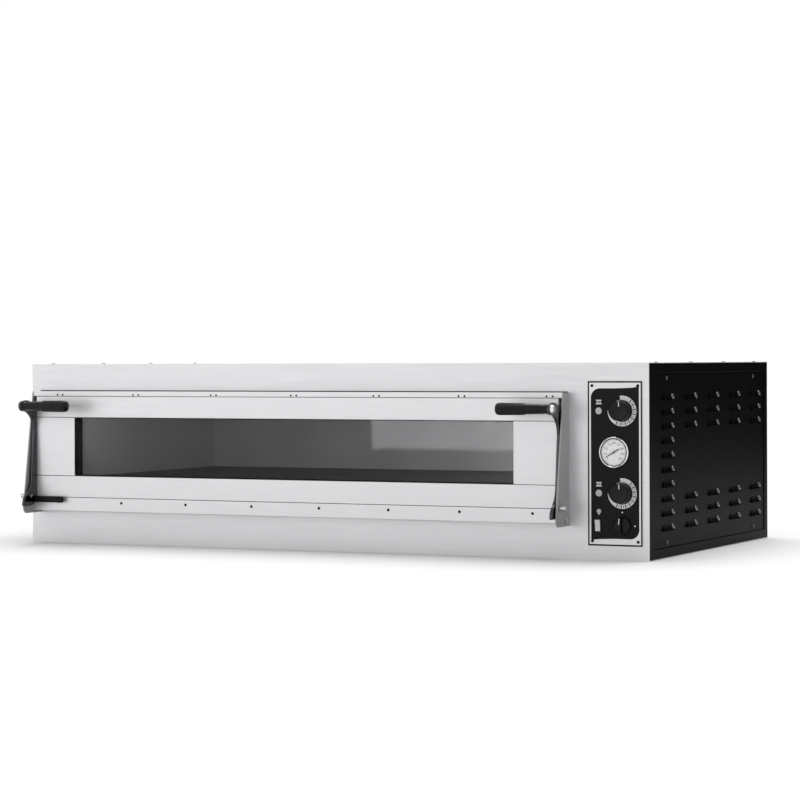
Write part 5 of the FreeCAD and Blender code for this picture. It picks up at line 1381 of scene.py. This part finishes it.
@dataclass
class Thermometer(SubAssembly):
    """The dial thermometer: rolled bezel, printed dial, glass and needle."""

    case_radius: float = 29.5 * MM
    bezel_width: float = 4.5 * MM
    figures: int = 9
    figure_step: int = 50
    figure_size: float = 6.2 * MM
    ticks_each: int = 5
    first_deg: float = -132.0
    sweep_deg: float = 264.0
    print_lift: float = 0.02 * MM
    print_height: float = 0.05 * MM
    hub_lift: float = 0.4 * MM

    def build(self) -> None:
        """Build the thermometer's pieces."""
        self.dress(DIAL_LACQUER, "thermometer_dial")
        self.dress(DIAL_GLASS, "thermometer_glass")
        self.bezel()
        self.dial_print()
        self.needle()

    def at(self, y: float) -> Matrix:
        """Return the matrix that puts a shape on the thermometer's axis at a depth."""
        middle = middle_of(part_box("thermometer_case"))
        return on_front(Vector((middle.x, y, middle.z)))

    def bezel(self) -> None:
        """Build the rolled bright bezel with the case behind it, and a black ring inside it that paints the shadow
        under the bezel's lip.
        """
        low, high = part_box("thermometer_case")
        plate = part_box("control_plate")[0].y
        depth = plate - low.y
        tail = plate - high.y
        outer = (high.x - low.x) / 2
        inner = outer - self.bezel_width
        profile = [(inner, 0.4 * MM), (inner, depth - 2.4 * MM), (inner + 0.6 * MM, depth - 0.8 * MM),
                   (inner + 2.0 * MM, depth), (outer - 1.6 * MM, depth - 0.5 * MM),
                   (outer - 0.3 * MM, depth - 2.2 * MM), (outer, depth - 4.0 * MM),
                   (outer - 0.4 * MM, 0.0), (self.case_radius, 0.0), (self.case_radius, tail),
                   (0.0, tail), (0.0, tail + 1.0 * MM), (inner, tail + 1.0 * MM), (inner, 0.4 * MM)]
        self.add("thermometer_bezel", transformed(lathe(profile, 96), self.at(plate)), CHROME,
                 "chromed_casting", ("thermometer_case",), smooth_deg=50.0)
        # Painted shadow: a black ring under the bezel's inner lip.
        lip, base = inner - 1.2 * MM, depth - 3.2 * MM
        shadow_ring = [(lip, base), (lip, depth - 2.0 * MM), (inner + 0.5 * MM, depth - 1.2 * MM),
                (inner + 0.5 * MM, base), (lip, base)]
        self.add("thermometer_painted_shadow_ring", transformed(lathe(shadow_ring, 96), self.at(plate)), GLOSS_ABS,
                 "black_knob")

    def dial_print(self) -> None:
        """Build the dial's ticks and figures."""
        low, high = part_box("thermometer_dial")
        radius = (high.x - low.x) / 2
        place = self.at(low.y - self.print_lift)
        shapes = []
        count = (self.figures - 1) * self.ticks_each
        for i in range(count + 1):
            width, length = (0.35 * MM, 1.3 * MM) if i % self.ticks_each else (0.7 * MM, 2.6 * MM)
            angle = self.first_deg + self.sweep_deg * i / count
            mark = tick(width, length, radius * 0.93 - length / 2, angle, self.print_height)
            shapes.append(transformed(mark, place))
        for i in range(self.figures):
            angle = math.radians(self.first_deg + self.sweep_deg * i / (self.figures - 1))
            figure = lettering(str(i * self.figure_step), self.figure_size, self.print_height)
            shift = Vector((math.sin(angle), math.cos(angle), 0.0)) * radius * 0.66
            shift.z = self.print_height / 2
            shapes.append(transformed(figure, place @ Matrix.Translation(shift)))
        self.add("dial_print", joined(shapes), GREY_INK, "white_dial")

    def needle(self) -> None:
        """Build the needle's softened blade and its hub cap."""
        self.add("needle_blade", softened("thermometer_needle", 0.12 * MM), BLACK_OXIDE, "black_screw",
                 ("thermometer_needle",), body="needle")
        hub = lathe([(0.0, 0.0), (1.6 * MM, 0.0), (1.5 * MM, 0.3 * MM), (0.0, 0.45 * MM)], 24)
        place = self.at(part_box("thermometer_needle")[0].y + self.hub_lift)
        self.add("needle_hub", transformed(hub, place), CHROME, "chromed_casting", body="needle")


# ---- studio ----
def stand(name: str, shape: Shape, material: bpy.types.Material) -> bpy.types.Object:
    """Stand a piece in the studio.

    Args:
        name: Its name.
        shape: Its shape, which is freed.
        material: Its material.

    Returns:
        The piece.
    """
    mesh = bpy.data.meshes.new(name)
    shape.to_mesh(mesh)
    shape.free()
    mesh.materials.append(material)
    piece = bpy.data.objects.new(name, mesh)
    bpy.context.scene.collection.objects.link(piece)
    return piece


@dataclass(frozen=True)
class Studio:
    """The pale floor, the soft light, the black flag and the camera, in metres."""

    floor_size: float = 60.0
    world_strength: float = 0.5
    softbox_place: tuple[float, float, float] = (-3.2, -4.8, 1.2)
    softbox_size: tuple[float, float] = (5.0, 2.4)
    softbox_watts: float = 24.0
    scrim_way: tuple[float, float, float] = (0.0, 0.35, 1.0)
    scrim_deg: float = 60.0
    scrim_strength: float = 2.2
    flag_low: tuple[float, float, float] = (0.9, 3.0, -0.2)
    flag_high: tuple[float, float, float] = (4.4, 3.6, 3.4)
    camera_place: tuple[float, float, float] = (2.639, -5.454, 0.421)
    camera_look: tuple[float, float, float] = (-0.436, 0.900, 0.0)
    lens_mm: float = 116.6
    sensor_mm: float = 36.0
    shift_y: float = -0.0506
    roll_deg: float = -0.19
    farthest: float = 100.0

    def build(self) -> None:
        """Build the floor, the world, the lights, the flag and the camera."""
        self.floor()
        self.world()
        self.lights()
        self.flag()
        self.camera()

    def floor(self) -> None:
        """Lay the matt paper floor, which the soft light turns white outside the oven's shadow."""
        material = bpy.data.materials.new("matt_paper_floor")
        material.use_nodes = True
        tree = material.node_tree
        tree.nodes.clear()
        paper = add_node(tree, "ShaderNodeBsdfDiffuse", {"Color": linear("#f4f4f4")})
        add_node(tree, "ShaderNodeOutputMaterial", {"Surface": paper.outputs[0]})
        floor = stand("studio_floor", panel(self.floor_size, self.floor_size), material)

    def world(self) -> None:
        """Surround the oven with even light, which is white where it is seen or mirrored."""
        world = bpy.data.worlds.new("studio_world")
        bpy.context.scene.world = world
        world.use_nodes = True
        tree = world.node_tree
        tree.nodes.clear()
        path = add_node(tree, "ShaderNodeLightPath")
        lit, white = (
            add_node(tree, "ShaderNodeBackground", {"Color": linear("#ffffff"), "Strength": strength})
            for strength in (self.world_strength, 1.0))
        shown = path.outputs["Is Camera Ray"]
        for ray in ("Is Glossy Ray", "Is Transmission Ray"):
            shown = add_node(tree, "ShaderNodeMath", {0: shown, 1: path.outputs[ray]}, operation="ADD",
                             use_clamp=True).outputs[0]
        seen = add_node(tree, "ShaderNodeMixShader", {0: shown, 1: lit.outputs[0], 2: white.outputs[0]})
        add_node(tree, "ShaderNodeOutputWorld", {"Surface": seen.outputs[0]})

    def lights(self) -> None:
        """Hang the soft box at the camera's left, and the scrim that throws the oven's shadow forward."""
        place = Vector(self.softbox_place)
        hang_light("key_softbox", "AREA", self.softbox_watts, place, middle_of(CAD_BOX) - place,
                   shape="RECTANGLE", size=self.softbox_size[0], size_y=self.softbox_size[1])
        hang_light("overhead_scrim", "SUN", self.scrim_strength, Vector(), -Vector(self.scrim_way),
                   angle=math.radians(self.scrim_deg))

    def flag(self) -> None:
        """Stand a black flag behind the right side, so that the painted side mirrors black."""
        card = stand("black_flag", cuboid(self.flag_low, self.flag_high), BLACK_INK.material())
        card.visible_camera = False
        card.visible_shadow = False
        card.visible_diffuse = False
        card.visible_transmission = False

    def camera(self) -> None:
        """Set the camera."""
        data = bpy.data.cameras.new("studio_camera")
        data.lens = self.lens_mm
        data.sensor_width = self.sensor_mm
        data.shift_y = self.shift_y
        data.clip_end = self.farthest
        camera = bpy.data.objects.new("studio_camera", data)
        look = Vector(self.camera_look).to_track_quat("-Z", "Y").to_matrix().to_4x4()
        roll = Matrix.Rotation(math.radians(self.roll_deg), 4, "Z")
        camera.matrix_world = Matrix.Translation(self.camera_place) @ look @ roll
        bpy.context.scene.collection.objects.link(camera)
        bpy.context.scene.camera = camera


def main() -> None:
    """Build the oven's sub-assemblies in order, then the studio."""
    logging.basicConfig(level=logging.INFO, format="%(name)s: %(message)s")
    bpy.context.scene.view_settings.view_transform = "Standard"
    sub_assemblies = (
        CabinetShell("cabinet"), DoorSurround("cabinet"), BakingChamber("cabinet"), Electrics("cabinet"),
        DoorLeaf("door"), LeversAndGrips("door"), ControlPanel("cabinet"), Thermometer("cabinet"),
    )
    for part in sub_assemblies:
        part.build()
    Studio().build()


if __name__ == "__main__":
    main()
